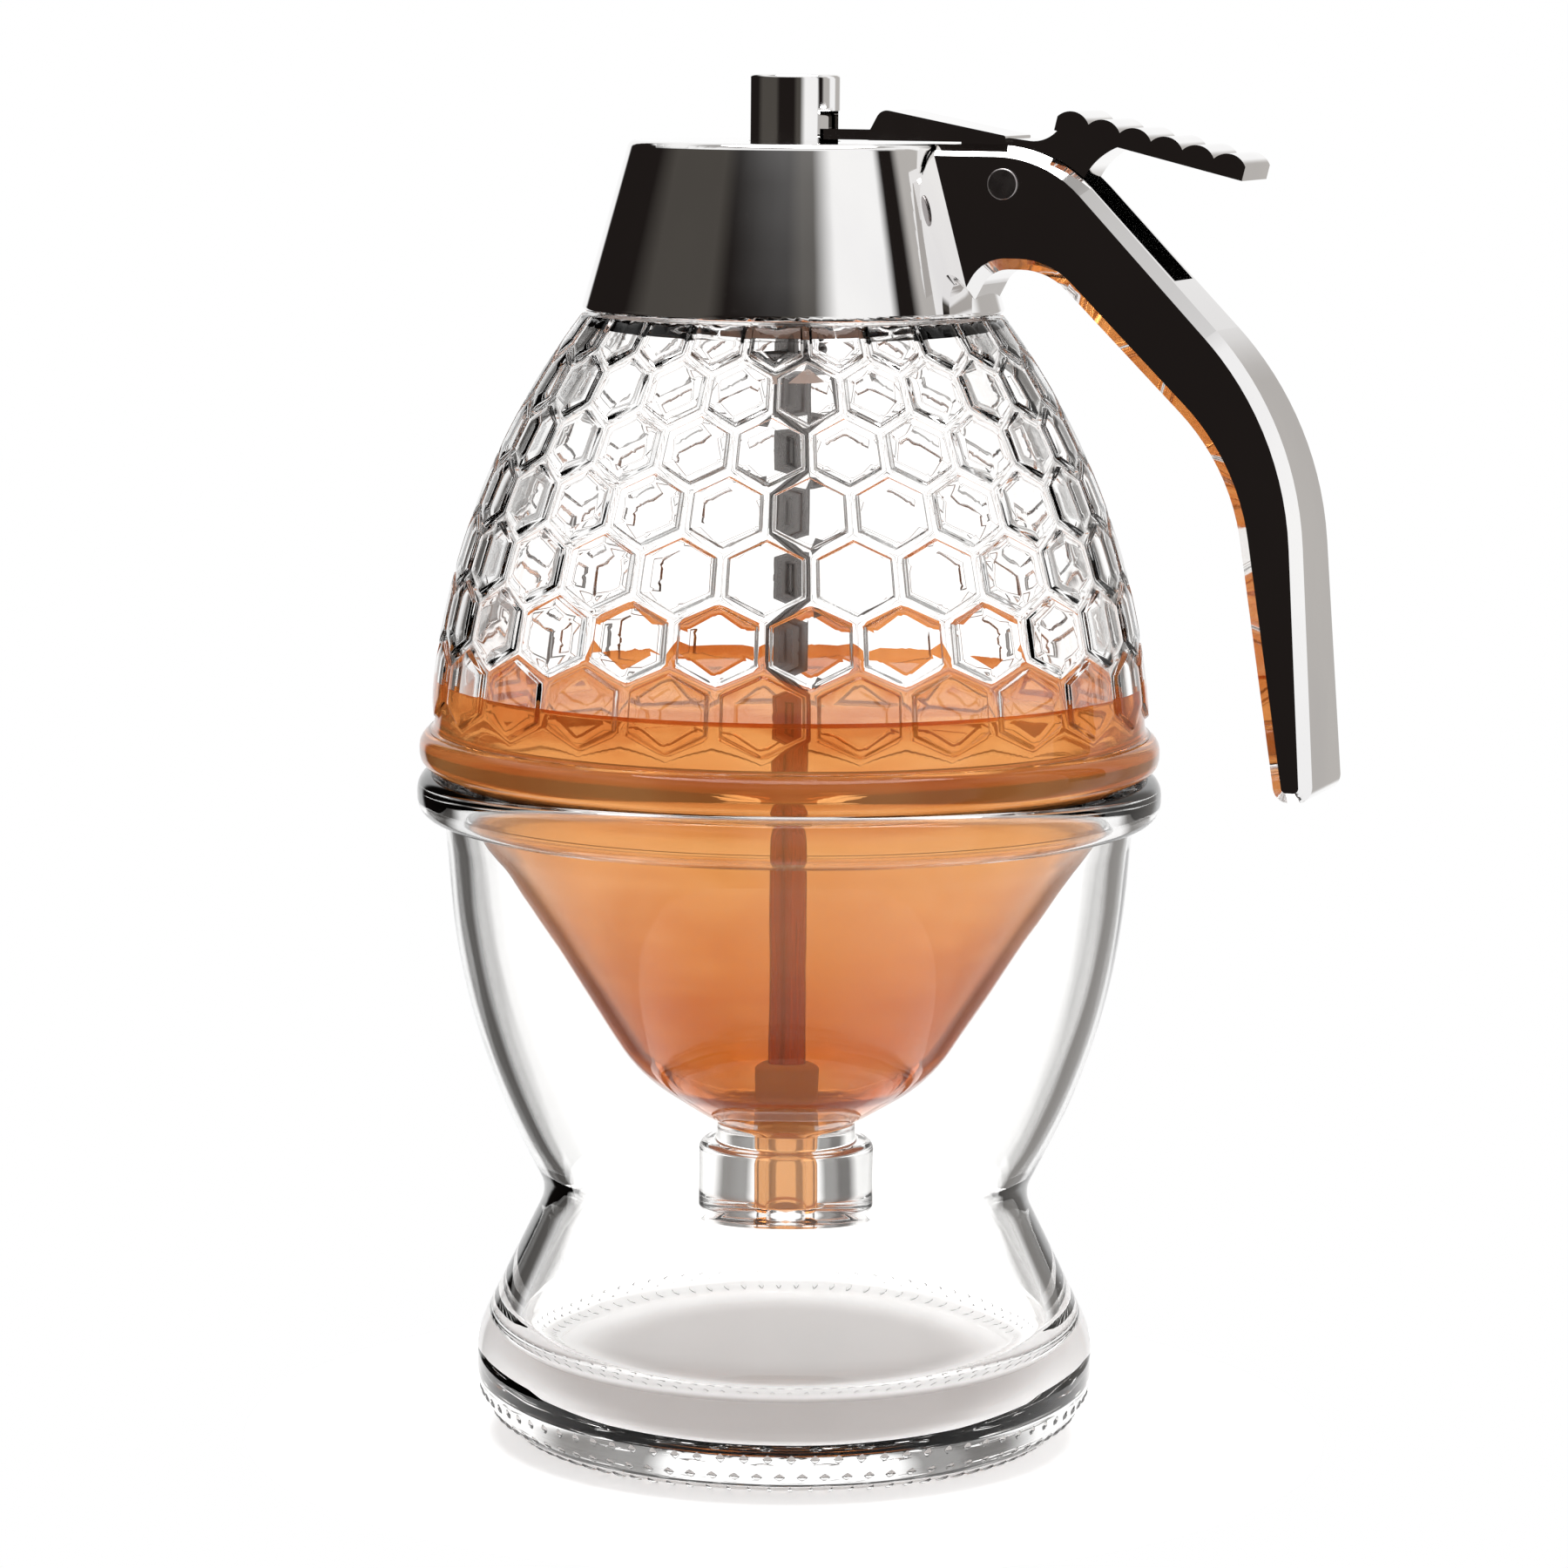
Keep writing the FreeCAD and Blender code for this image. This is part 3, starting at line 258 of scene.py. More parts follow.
class Pattern(Tree):
    """A Geometry Nodes tree with named inputs, after the geometry that every modifier hands in."""

    KINDS = {"float": "NodeSocketFloat", "int": "NodeSocketInt",
             "object": "NodeSocketObject", "material": "NodeSocketMaterial",
             "geometry": "NodeSocketGeometry"}

    def __init__(self, name, **inputs):
        super().__init__(bpy.data.node_groups.new(name, "GeometryNodeTree"))
        self.identifiers = {}
        self.group.interface.new_socket("Geometry", in_out="OUTPUT",
                                        socket_type="NodeSocketGeometry")
        start = self.group.nodes.new("NodeGroupInput")
        for label, kind in {"geometry": "geometry", **inputs}.items():
            socket = self.group.interface.new_socket(label, in_out="INPUT",
                                                     socket_type=self.KINDS[kind])
            self.identifiers[label] = socket.identifier
        self.inputs = {label: Wire(self, start.outputs[k])
                       for k, label in enumerate(self.identifiers)}

    def __getitem__(self, label):
        return self.inputs[label]

    def place(self):
        return self.parts(self.node("GeometryNodeInputPosition"))

    def joined(self, x, y, z):
        return self.node("ShaderNodeCombineXYZ", feeds={0: x, 1: y, 2: z})

    def end(self, geometry):
        """Realized, with the material set, and out."""
        whole = self.node("GeometryNodeRealizeInstances", feeds={0: geometry})
        coated = self.node("GeometryNodeSetMaterial",
                           feeds={"Geometry": whole, "Material": self["material"]})
        out = self.group.nodes.new("NodeGroupOutput")
        self.group.links.new(coated.socket, out.inputs[0])

    def grow(self, name, **values):
        """A plain mesh object of what the tree makes."""
        made = new_object(name, bpy.data.meshes.new(name))
        modifier = made.modifiers.new(self.group.name, "NODES")
        modifier.node_group = self.group
        for label, value in values.items():
            modifier[self.identifiers[label]] = value
        bpy.context.view_layer.update()
        ready = made.evaluated_get(bpy.context.evaluated_depsgraph_get())
        plain = bpy.data.meshes.new_from_object(ready)
        made.modifiers.remove(modifier)
        made.data = plain
        return made


def new_object(name, mesh):
    made = bpy.data.objects.new(name, mesh)
    bpy.context.scene.collection.objects.link(made)
    return made


def coat(piece, finish):
    piece.data.materials.clear()
    piece.data.materials.append(finish)


def finish_mesh(bm, name, sharp_degrees=38):
    """The bmesh as a smooth-shaded mesh, creased where it turns by more than the angle."""
    mesh = bpy.data.meshes.new(name)
    bm.to_mesh(mesh)
    bm.free()
    mesh.shade_smooth()
    mesh.set_sharp_from_angle(angle=math.radians(sharp_degrees))
    return mesh


# Turned forms

def arc(centre, radius, start, end, steps):
    return [(centre[0] + radius * math.cos(start + (end - start) * k / steps),
             centre[1] + radius * math.sin(start + (end - start) * k / steps))
            for k in range(steps + 1)]


def rounded(corners):
    """Side view with tangent arcs; a corner is (radius, height) or (radius, height, rounding)."""
    points = []
    for k, corner in enumerate(corners):
        here = Vector(corner[:2])
        if len(corner) == 2:
            points.append(here)
            continue
        rounding = corner[2]
        before = (Vector(corners[k - 1][:2]) - here).normalized()
        after = (Vector(corners[(k + 1) % len(corners)][:2]) - here).normalized()
        opening = before.angle(after)
        run = rounding / math.tan(opening / 2)
        centre = here + (before + after).normalized() * (rounding / math.sin(opening / 2))
        start = here + before * run - centre
        end = here + after * run - centre
        sweep = math.pi - opening
        steps = max(4, math.ceil(sweep * rounding / ROUND_SPACING))
        side = 1 if start.x * end.y - start.y * end.x > 0 else -1
        first = math.atan2(start.y, start.x)
        points += [Vector(p) for p in arc(centre, rounding, first, first + side * sweep, steps)]
    return points


def filled(points, spacing):
    """The side view with long straight runs divided."""
    full = []
    for here, after in zip(points, points[1:]):
        steps = max(1, math.ceil((Vector(after) - Vector(here)).length / spacing))
        full += [Vector(here).lerp(Vector(after), k / steps) for k in range(steps)]
    return full + [Vector(points[-1])]


def rings(bm, points, turns):
    """One ring of vertices for each point of the side view; a point on the axis is one vertex."""
    made = []
    for radius, height in points:
        if radius < 1e-6:
            made.append([bm.verts.new((0, 0, height * MM))])
            continue
        made.append([bm.verts.new((radius * math.cos(t) * MM, radius * math.sin(t) * MM,
                                   height * MM)) for t in turns])
    return made


def skin(bm, stack):
    """Faces between following rings."""
    for low, high in zip(stack, stack[1:]):
        count = max(len(low), len(high))
        for k in range(count):
            n = (k + 1) % count
            if len(low) == 1:
                bm.faces.new((low[0], high[n], high[k]))
            elif len(high) == 1:
                bm.faces.new((low[k], low[n], high[0]))
            else:
                bm.faces.new((low[k], low[n], high[n], high[k]))


def even_turns(count):
    return [math.radians(360 * k / count) for k in range(count)]


# Finishes

def clear_glass(name, start, end, depth):
    """Pressed glass, darker where the eye runs along it: painted shade in its colour, standing in
    for the dark edge that a clear wall shows.
    """
    glass = Finish(name, Transmission_Weight=1.0, IOR=1.5,
                   Specular_Tint=(0.3, 0.3, 0.3, 1))
    ripple = glass.noise(90, 1.0, glass.stretched((1.0, 1.0, 0.45)))
    haze = glass.noise(700, 3.0)
    edge = glass.node("ShaderNodeLayerWeight", feeds={"Blend": 0.5}, output="Facing")
    inside = glass.node("ShaderNodeNewGeometry", output="Backfacing")
    # Painted shade: front faces seen at a glancing angle are coloured near black, from start to
    # end of the facing, up to depth.
    painted_edge_shade = edge.within(start, end) * (1.0 - inside) * depth
    body = glass.mix(ripple.within(0.3, 0.7), (0.975, 0.975, 0.97, 1),
                     (0.995, 0.99, 0.985, 1))
    glass.set(
        Base_Color=glass.mix(painted_edge_shade, body, (0.10, 0.095, 0.09, 1)),
        Roughness=haze.within(0.62, 0.8) * 0.03)
    return glass.bump(ripple, 0.05).material


def honey_finish():
    """Amber in lighter and deeper bands by height, with soft clouds; it hardly bends the light,
    and glows faintly in its own tone as painted light for light passing through it.
    """
    lowest, highest = 40.0 * MM, 106.0 * MM
    # The emission is painted light: a faint glow in the honey's tone, standing in for light that
    # shines through it.
    honey = Finish("honey", Transmission_Weight=0.8, IOR=1.03, Emission_Strength=0.12)
    cloud = honey.noise(60, 3.0, honey.stretched((1.0, 1.0, 1.8)))
    streak = honey.noise(120, 2.0, honey.stretched((0.35, 0.35, 3.0)))
    climb = (honey.height() - lowest) / (highest - lowest)
    tone_and_glow = honey.node("ShaderNodeValToRGB", {"stops": [
        (0.0, (0.80, 0.40, 0.16)),
        (0.14, (0.64, 0.20, 0.04)),
        (0.26, (0.56, 0.13, 0.02)),
        (0.38, (0.62, 0.18, 0.035)),
        (0.52, (0.76, 0.29, 0.075)),
        (0.76, (0.88, 0.45, 0.17)),
        (0.88, (0.76, 0.31, 0.09)),
        (0.95, (0.72, 0.27, 0.07)),
        (1.0, (0.56, 0.15, 0.03))]},
        {0: climb + (cloud - 0.5) * 0.32 + (streak - 0.5) * 0.12})
    honey.set(Base_Color=tone_and_glow, Emission_Color=tone_and_glow, Roughness=cloud * 0.04)
    return honey.bump(streak, 0.03).material


def chrome_finish():
    chrome = Finish("chrome_plate", Metallic=1.0)
    smear = chrome.noise(60, 3.0, chrome.stretched((1.0, 1.0, 0.5)))
    speck = chrome.noise(900, 2.0)
    chrome.set(
        Base_Color=chrome.mix(smear.within(0.35, 0.7), (0.86, 0.85, 0.85, 1),
                              (0.92, 0.91, 0.90, 1)),
        Roughness=0.03 + smear.within(0.45, 0.8) * 0.05 + speck.within(0.6, 0.8) * 0.03)
    return chrome.bump(smear, 0.012).material


def steel_finish(name, tone_and_glow, grain):
    steel = Finish(name, Metallic=1.0)
    lines = steel.noise(400, 2.0, steel.stretched(grain))
    deeper = tuple(0.8 * c for c in tone_and_glow)
    steel.set(
        Base_Color=steel.mix(lines, (*deeper, 1), (*tone_and_glow, 1)),
        Roughness=0.2 + lines * 0.15)
    return steel.bump(lines, 0.01).material


def rod_finish():
    """Drawn steel, with a film of honey that ends unevenly a little over the honey's level."""
    rod = Finish("rod_steel")
    lines = rod.noise(400, 2.0, rod.stretched((3.0, 3.0, 0.1)))
    runs = rod.noise(300, 2.0)
    film_end = (rod.height() + runs * (3.0 * MM)).within(
        (HONEY_LEVEL + 0.5) * MM, (HONEY_LEVEL + 3.5) * MM)
    film = 1.0 - film_end
    steel = rod.mix(lines, (0.14, 0.13, 0.13, 1), (0.20, 0.19, 0.18, 1))
    rod.set(
        Base_Color=rod.mix(film, steel, (0.42, 0.085, 0.02, 1)),
        Metallic=1.0 - film * 0.4,
        Roughness=0.2 + lines * 0.15)
    return rod.bump(lines, 0.01).material


def plastic_finish():
    plastic = Finish("white_plastic")
    grain = plastic.noise(1500, 2.0)
    cloud = plastic.noise(40, 2.0)
    plastic.set(
        Base_Color=plastic.mix(cloud, (0.80, 0.79, 0.76, 1), (0.88, 0.87, 0.85, 1)),
        Roughness=0.38 + grain * 0.15)
    return plastic.bump(grain, 0.02).material


def silicone_finish():
    silicone = Finish("silicone", Subsurface_Weight=0.2, Subsurface_Scale=2.0 * MM)
    cloud = silicone.noise(120, 2.0)
    grain = silicone.noise(1800, 1.0)
    silicone.set(
        Base_Color=silicone.mix(cloud, (0.78, 0.76, 0.72, 1), (0.88, 0.86, 0.83, 1)),
        Roughness=0.42 + cloud * 0.12)
    return silicone.bump(grain, 0.015).material


# The last three numbers place the painted edge shade and set how dark it is.
STAND_GLASS = clear_glass("stand_glass", 0.72, 1.0, 0.45)
JAR_GLASS = clear_glass("jar_glass", 0.78, 1.0, 0.6)
CHROME = chrome_finish()
for node, finish in {
    "cap": CHROME,
    "lever": CHROME,
    "plunger_post": CHROME,
    "cap_liner": plastic_finish(),
    "rod_guide": plastic_finish(),
    "spring_collar": plastic_finish(),
    "cap_gasket": silicone_finish(),
    "stopper": silicone_finish(),
    "lever_pin": steel_finish("pin_steel", (0.45, 0.42, 0.42), (1.0, 4.0, 1.0)),
    "plunger_rod": rod_finish(),
    "return_spring": steel_finish("spring_steel", (0.22, 0.21, 0.21), (2.0, 2.0, 2.0)),
}.items():
    coat(NODES[node], finish)


# Stand

def stand_side():
    """From the middle of the underside, up the outside, and down the inside to the floor."""
    return rounded([
        (0, 0),
        (FOOT_R, 0, FOOT_EDGE),
        (FOOT_R, FOOT_Z, 14.0),
        (WAIST_R, WAIST_Z, WAIST_CURVE),
        (BELLY_R, BELLY_Z, BELLY_CURVE),
        (COLLAR_R, COLLAR_Z),
        (RIM_R, RIM_LOW, RIM_EDGE),
        (RIM_R, RIM_TOP, RIM_EDGE),
        (COLLAR_R - GLASS_WALL, RIM_TOP, 0.8),
        (COLLAR_R - GLASS_WALL, COLLAR_Z),
        (BELLY_R - GLASS_WALL * 1.05, BELLY_Z, BELLY_CURVE),
        (WAIST_R - GLASS_WALL * 1.12, WAIST_Z, WAIST_CURVE + GLASS_WALL),
        (FOOT_R - GLASS_WALL * 1.3, STAND_FLOOR, 4.5),
        (0, STAND_FLOOR)])


def mark_mesh(length, width):
    """One raised diamond facing +Z, half sunk in the glass: length along X, width along Y."""
    bm = bmesh.new()
    skin(bm, rings(bm, [(0, -MARK_HEIGHT), (0.8, -MARK_HEIGHT), (1.0, 0),
                        (0.55, MARK_HEIGHT * 0.75), (0, MARK_HEIGHT)], even_turns(8)))
    for v in bm.verts:
        bulge = 1.0 if abs(v.co.x) < 1e-6 or abs(v.co.y) < 1e-6 else 0.8
        v.co.x *= length / 2 * bulge
        v.co.y *= width / 2 * bulge
    return new_object("mark", finish_mesh(bm, "mark"))


def foot_marks_pattern():
    """A ring of marks round the foot's rounded edge, where the edge faces down by the slope."""
    tree = Pattern("foot_marks", material="material", mark="object", marks="int",
                   slope="float", shift="float", edge="float", curve="float")
    index = tree.node("GeometryNodeInputIndex") + 0.0
    turn = (index + tree["shift"]) * (2 * math.pi) / tree["marks"]
    out = tree["edge"] + tree["curve"] * tree["slope"].cos()
    up = tree["curve"] * (1.0 - tree["slope"].sin())
    spots = tree.node("GeometryNodePoints", feeds={
        "Count": tree["marks"],
        "Position": tree.joined(out * turn.cos(), out * turn.sin(), up)})
    mark = tree.node("GeometryNodeObjectInfo", feeds={"Object": tree["mark"]},
                     output="Geometry")
    facing = tree.joined(0.0, tree["slope"] + math.pi / 2, turn)
    tree.end(tree.node("GeometryNodeInstanceOnPoints", feeds={
        "Points": spots, "Instance": mark, "Rotation": facing}))
    return tree


def make_stand():
    bm = bmesh.new()
    skin(bm, rings(bm, filled(stand_side(), RUN_SPACING), even_turns(STAND_TURNS)))
    pattern = foot_marks_pattern()
    for slope, shift, length, width in MARK_ROWS:
        mark = mark_mesh(length, width)
        row = pattern.grow("row", material=STAND_GLASS, mark=mark, marks=MARKS_ROUND,
                           slope=math.radians(slope), shift=shift,
                           edge=(FOOT_R - FOOT_EDGE) * MM, curve=FOOT_EDGE * MM)
        bm.from_mesh(row.data)
        bpy.data.objects.remove(mark)
        bpy.data.objects.remove(row)
    made = new_object("stand_glass", finish_mesh(bm, "stand_glass"))
    coat(made, STAND_GLASS)
    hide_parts("stand")
    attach(made, "stand")


# Jar

def egg_radius(height, grow=0.0):
    rise = height - EGG_Z
    return EGG_R - EGG_CURVE + math.sqrt((EGG_CURVE + grow) ** 2 - rise * rise)


def egg_arc(low, high, grow, steps):
    return [Vector((egg_radius(low + (high - low) * k / steps, grow),
                    low + (high - low) * k / steps)) for k in range(steps + 1)]


def cell_template():
    """One raised cell on the flat: x in cells, y in rows, z in millimetres over the groove."""
    corners = [Vector((0, -2 / 3)), Vector((0.5, -1 / 3)), Vector((0.5, 1 / 3)),
               Vector((0, 2 / 3)), Vector((-0.5, 1 / 3)), Vector((-0.5, -1 / 3))]
    edge = []
    for k, corner in enumerate(corners):
        after = corners[(k + 1) % 6]
        edge += [corner.lerp(after, s / SIDE_STEPS) for s in range(SIDE_STEPS)]
    bm = bmesh.new()
    stack = [[bm.verts.new((p.x * share, p.y * share, height)) for p in edge]
             for share, height in CELL_RINGS]
    stack.append([bm.verts.new((0, 0, CELL_RINGS[-1][1]))])
    skin(bm, stack)
    mesh = bpy.data.meshes.new("cell")
    bm.to_mesh(mesh)
    bm.free()
    return new_object("cell", mesh)


def honeycomb_pattern():
    """Rows of cells laid on the flat, then wrapped round the egg; angles come in degrees."""
    tree = Pattern("honeycomb", material="material", cell="object", cells="int", rows="int",
                   first="float", pitch="float", taper="float", phase="float",
                   curve="float", widest="float", centre="float", shoulder="float")
    index = tree.node("GeometryNodeInputIndex") + 0.0
    row = (index / tree["cells"] + 0.001).floor()
    column = index - row * tree["cells"]
    spots = tree.node("GeometryNodePoints", feeds={
        "Count": tree["cells"] * tree["rows"],
        "Position": tree.joined(column + (row % 2.0) * 0.5, row, 0.0)})
    cell = tree.node("GeometryNodeObjectInfo", feeds={"Object": tree["cell"]},
                     output="Geometry")
    laid = tree.node("GeometryNodeInstanceOnPoints", feeds={"Points": spots, "Instance": cell})
    flat = tree.node("GeometryNodeRealizeInstances", feeds={0: laid})
    x, y, height = tree.place()
    degree = math.pi / 180
    turn = (tree["phase"] + x * (360.0 / tree["cells"])) * degree
    climb = (tree["first"] + tree["pitch"] * y - tree["taper"] * y * (y - 1.0) * 0.5) * degree
    curve = tree["curve"] + height * MM
    out = tree["widest"] - tree["curve"] + curve * climb.cos()
    up = (tree["centre"] + curve * climb.sin()).least(tree["shoulder"])
    wrapped = tree.node("GeometryNodeSetPosition", feeds={
        "Geometry": flat, "Position": tree.joined(out * turn.cos(), out * turn.sin(), up)})
    tree.end(tree.node("GeometryNodeMergeByDistance", feeds={
        "Geometry": wrapped, "Distance": 0.005 * MM}))
    return tree


def wrapped_cells():
    cell = cell_template()
    made = honeycomb_pattern().grow(
        "cells", material=JAR_GLASS, cell=cell, cells=CELLS, rows=ROWS, first=FIRST_ROW,
        pitch=ROW_PITCH, taper=ROW_TAPER, phase=PHASE, curve=EGG_CURVE * MM,
        widest=EGG_R * MM, centre=EGG_Z * MM, shoulder=SHOULDER_Z * MM)
    bpy.data.objects.remove(cell)
    mesh = made.data
    bpy.data.objects.remove(made)
    return mesh


def turn_of(v):
    return math.atan2(v.co.y, v.co.x) % (2 * math.pi)


def edge_loops(bm):
    """The open edges' vertices, lower zigzag and upper zigzag, each in order of their turn."""
    open_verts = {v for e in bm.edges if len(e.link_faces) == 1 for v in e.verts}
    middle = (EGG_Z + SHOULDER_Z) / 2 * MM
    low = sorted((v for v in open_verts if v.co.z < middle), key=turn_of)
    high = sorted((v for v in open_verts if v.co.z >= middle), key=turn_of)
    return low, high


def jar_lower_side():
    """Up the outside, from the outlet's lower end to the honeycomb."""
    return rounded([
        (OUTLET_R, OUTLET_Z),
        (SPOUT_R, OUTLET_Z, 1.2),
        (SPOUT_R, SPOUT_TOP, 1.2),
        (GROOVE_R, SPOUT_TOP, 0.5),
        (GROOVE_R, GROOVE_TOP, 0.8),
        (12.0, 45.6),
        (20.6, 50.9, 22.0),
        (BOWL_OUT_R, 86.6, 16.0),
        (BOWL_OUT_R, FLANGE_LOW, 0.4),
        (FLANGE_R, FLANGE_LOW, 2.2),
        (FLANGE_R, FLANGE_TOP, 2.2),
        (egg_radius(FLANGE_TOP) + 0.3, FLANGE_TOP, 0.6),
        (egg_radius(CELLS_FROM), CELLS_FROM)])


def jar_neck_and_inside():
    """From the shoulder over the neck, and down the inside to just above the outlet's end."""
    roof = SHOULDER_Z - GLASS_WALL
    neck = rounded([
        (27.0, SHOULDER_Z),
        (NECK_R, SHOULDER_Z, 0.6),
        (NECK_R, NECK_TOP, 0.8),
        (NECK_BORE, NECK_TOP, 0.8),
        (NECK_BORE, SHOULDER_Z - GLASS_WALL * 0.6, 2.0),
        (egg_radius(roof, -GLASS_WALL), roof)])
    egg = egg_arc(roof, FLANGE_TOP, -GLASS_WALL, EGG_STEPS)[1:]
    bowl = rounded([
        (egg_radius(FLANGE_TOP, -GLASS_WALL), FLANGE_TOP),
        (BOWL_R, BOWL_TOP, 1.5),
        (BOWL_R, BOWL_Z, BOWL_CURVE),
        (FUNNEL_R, FUNNEL_Z, FUNNEL_CURVE),
        (SEAT_R, SEAT_TOP, 0.4),
        (OUTLET_R, SEAT_LOW, 0.3),
        (OUTLET_R, OUTLET_Z)])[1:-1]
    return neck + egg + bowl


def make_jar():
    """The wrapped cells, closed with turned glass between their two zigzag edges."""
    bm = bmesh.new()
    bm.from_mesh(wrapped_cells())
    low, high = edge_loops(bm)
    turns = [turn_of(v) for v in low]
    below = rings(bm, filled(jar_lower_side(), RUN_SPACING), turns)
    above = rings(bm, filled(jar_neck_and_inside(), RUN_SPACING), turns)
    skin(bm, below + [low])
    skin(bm, [high] + above + [below[0]])
    jar = new_object("jar_glass", finish_mesh(bm, "jar_glass", 45))
    coat(jar, JAR_GLASS)
    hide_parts("jar")
    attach(jar, "jar")


def make_honey():
    """Honey up to its level, a little way into the glass wall, so no film of air shows."""
    wall = GLASS_WALL - SOAK
    bottom = OUTLET_Z + 0.4
    side = [Vector((0, bottom))] + rounded([
        (OUTLET_R + SOAK, bottom, 0.4),
        (OUTLET_R + SOAK, SEAT_LOW),
        (SEAT_R + SOAK, SEAT_TOP - SOAK),
        (FUNNEL_R + SOAK, FUNNEL_Z - SOAK, FUNNEL_CURVE),
        (BOWL_R + SOAK, BOWL_Z, BOWL_CURVE),
        (BOWL_R + SOAK, BOWL_TOP, 1.5),
        (egg_radius(FLANGE_TOP, -wall), FLANGE_TOP)])
    side += egg_arc(FLANGE_TOP, HONEY_LEVEL + 0.9, -wall, 6)[1:]
    edge = side[-1].x
    side += [Vector((edge - 0.5, HONEY_LEVEL + 0.45)), Vector((edge - 1.2, HONEY_LEVEL + 0.12)),
             Vector((edge - 2.4, HONEY_LEVEL)), Vector((edge * 0.5, HONEY_LEVEL)),
             Vector((0, HONEY_LEVEL))]
    bm = bmesh.new()
    skin(bm, rings(bm, filled(side, 1.5), even_turns(HONEY_TURNS)))
    honey = new_object("honey", finish_mesh(bm, "honey"))
    coat(honey, honey_finish())
    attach(honey, "jar")


def thread_pattern():
    """A screw thread's round ridge: a helix with a tube along it."""
    tree = Pattern("thread", material="material", start="float", radius="float", turns="float",
                   pitch="float", ridge="float")
    helix = tree.node("GeometryNodeCurveSpiral", feeds={
        "Resolution": 96, "Rotations": tree["turns"], "Start Radius": tree["radius"],
        "End Radius": tree["radius"], "Height": tree["turns"] * tree["pitch"]})
    section = tree.node("GeometryNodeCurvePrimitiveCircle", feeds={
        "Resolution": 10, "Radius": tree["ridge"]})
    ridge = tree.node("GeometryNodeCurveToMesh", feeds={
        "Curve": helix, "Profile Curve": section, "Fill Caps": True})
    tree.end(tree.node("GeometryNodeTransform", feeds={
        "Geometry": ridge, "Translation": tree.joined(0.0, 0.0, tree["start"])}))
    return tree


def make_threads():
    """The neck's ridge and the liner's, in the gap that the two leave between them."""
    pattern = thread_pattern()
    for name, finish, slot, body, start, centre in (
            ("neck_thread", JAR_GLASS, "clear_glass", "jar",
             NECK_THREAD_Z, NECK_CREST_R - THREAD_RIDGE),
            ("liner_thread", NODES["cap_liner"].data.materials[0], "white_plastic", "cap",
             LINER_THREAD_Z, LINER_CREST_R + THREAD_RIDGE)):
        made = pattern.grow(name, material=finish, start=start * MM, radius=centre * MM,
                            turns=THREAD_TURNS, pitch=THREAD_PITCH * MM,
                            ridge=THREAD_RIDGE * MM)
        made.data.shade_smooth()
        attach(made, body)


def make_spring():
    """The return spring as one smooth mesh, carried with the plunger; the real one shortens
    between collar and guide as the plunger lifts.
    """
    bm = bmesh.new()
    bm.from_mesh(NODES["return_spring"].data)
    bmesh.ops.remove_doubles(bm, verts=bm.verts, dist=0.001 * MM)
    spring = new_object("spring_wire", finish_mesh(bm, "spring_wire", 60))
    coat(spring, NODES["return_spring"].data.materials[0])
    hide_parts("return_spring")
    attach(spring, "plunger")
    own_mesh(spring)


make_stand()
make_jar()
make_honey()
make_threads()
make_spring()


# Studio and camera

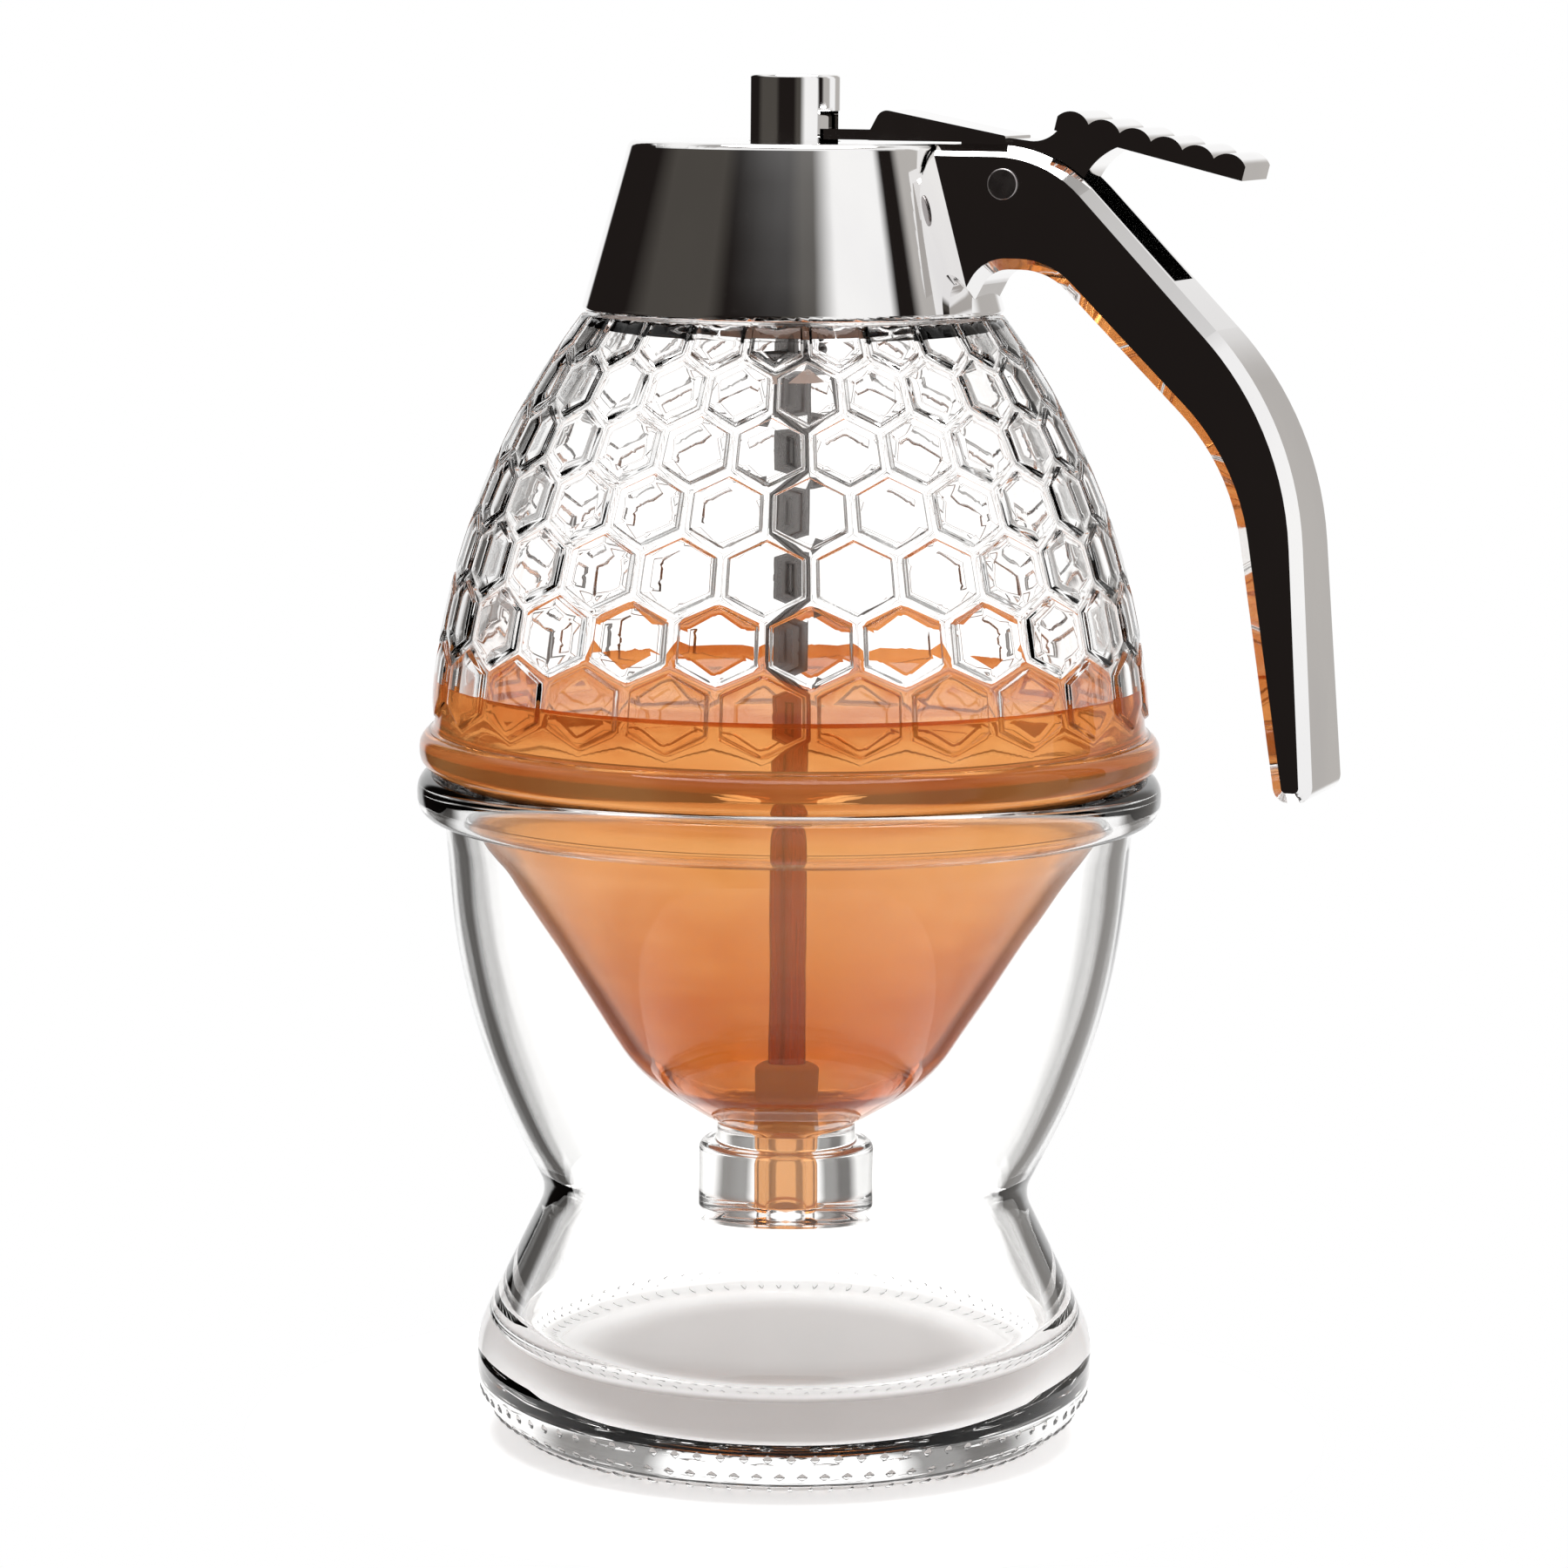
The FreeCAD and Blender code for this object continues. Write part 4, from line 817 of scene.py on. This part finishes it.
def make_world():
    """White to the camera, panels of light and dark to what glass and chrome mirror, and a
    softer ring to light that has passed through the glass."""
    world = bpy.data.worlds.new("studio")
    bpy.context.scene.world = world
    world.use_nodes = True
    tree = Tree(world.node_tree)
    x, y, z = tree.parts(tree.node("ShaderNodeTexCoord", output="Generated"))
    along = x * math.sin(AZIMUTH) - y * math.cos(AZIMUTH)
    right = x * math.cos(AZIMUTH) + y * math.sin(AZIMUTH)
    # share of a turn, seen from the object: 0.5 towards the camera, above it to the camera's right
    share = right.calculate("ARCTAN2", right, along) / (2 * math.pi) + 0.5
    dark = (0.014, 0.011, 0.010)
    dim = (0.075, 0.068, 0.06)
    shade = (0.12, 0.115, 0.11)
    grey = (0.5, 0.48, 0.46)
    white = (1.0, 1.0, 1.0)
    around = tree.node("ShaderNodeValToRGB", {"stops": [
        (0.0, white), (0.065, white), (0.075, dark), (0.20, dark), (0.25, dim), (0.36, dim),
        (0.39, dark), (0.49, dark), (0.515, dim), (0.535, dim), (0.572, white), (0.66, white),
        (0.675, dark), (0.70, dark), (0.717, grey), (0.765, grey), (0.78, white),
        (0.83, white), (0.85, grey), (0.92, grey), (0.94, white), (1.0, white)]}, {0: share})
    through = tree.node("ShaderNodeValToRGB", {"stops": [
        (0.0, white), (0.04, white), (0.05, shade), (0.095, shade), (0.12, white),
        (0.36, white), (0.40, dim), (0.44, dim), (0.47, white), (0.88, white),
        (0.905, shade), (0.95, shade), (0.96, white), (1.0, white)]}, {0: share})
    refracted = tree.node("ShaderNodeLightPath", output="Is Transmission Ray")
    panels = tree.mix(refracted * 0.85, around, through)
    # z is the sine of the elevation: white over the panels, and a grey ceiling over that
    walls = tree.mix(z.within(0.45, 0.7), panels, (*white, 1.0))
    light = tree.mix(z.within(0.74, 0.86), walls, (0.42, 0.41, 0.40, 1.0))
    seen = tree.node("ShaderNodeLightPath", output="Is Camera Ray")
    back = world.node_tree.nodes["Background"]
    tree.feed(back.inputs["Color"], tree.mix(seen, light, (*white, 1.0)))
    tree.feed(back.inputs["Strength"], 1.0 + refracted * 0.2)


def make_floor():
    """A disc that touches the stand's underside from inside, so no film of air shows there; under
    the foot it carries a painted shadow.
    """
    bpy.ops.mesh.primitive_circle_add(vertices=96, radius=75.0 * MM, fill_type="NGON",
                                      location=(0, 0, 0.02 * MM))
    floor = bpy.context.object
    floor.name = "floor"
    paper = Finish("floor_paper", Roughness=0.9, Emission_Strength=0.5)
    tint = paper.noise(3, 2.0)
    x, y, _ = paper.parts(paper.place())
    # Painted shadow: grey in the middle, under the foot, fading to the paper's white between 22
    # and 35 mm out; it also sets the glow.
    beyond_painted_shadow = (x * x + y * y).within((22.0 * MM) ** 2, (35.0 * MM) ** 2)
    bright = paper.mix(tint, (0.93, 0.93, 0.93, 1), (0.96, 0.96, 0.96, 1))
    paper_with_painted_shadow = paper.mix(beyond_painted_shadow, (0.50, 0.475, 0.465, 1), bright)
    paper.set(Base_Color=paper_with_painted_shadow, Emission_Color=paper_with_painted_shadow)
    floor.data.materials.append(paper.material)


def make_lamp():
    """A broad lamp overhead; its sizes are in metres and watts."""
    lamp = bpy.data.lights.new("overhead", "AREA")
    lamp.shape = "DISK"
    lamp.size = 1.6
    lamp.energy = 45
    overhead = bpy.data.objects.new("overhead", lamp)
    overhead.location = (0, 0.2, 1.8)
    bpy.context.scene.collection.objects.link(overhead)


def make_camera():
    lens = bpy.data.cameras.new("camera")
    lens.sensor_width = 36
    lens.lens = 126.32
    lens.shift_x = -6 / 1800
    lens.clip_start = 0.01
    camera = bpy.data.objects.new("camera", lens)
    stand_off = CAMERA_DISTANCE * MM
    place = (stand_off * math.sin(AZIMUTH), -stand_off * math.cos(AZIMUTH), CAMERA_HEIGHT * MM)
    camera.matrix_world = (
        Matrix.Translation(place)
        @ Matrix.Rotation(AZIMUTH, 4, "Z")
        @ Matrix.Rotation(math.pi / 2 - CAMERA_TILT, 4, "X")
        @ Matrix.Rotation(CAMERA_ROLL, 4, "Z"))
    bpy.context.scene.collection.objects.link(camera)
    bpy.context.scene.camera = camera
    bpy.context.scene.view_settings.view_transform = "Standard"


make_world()
make_floor()
make_lamp()
make_camera()

bpy.context.view_layer.update()
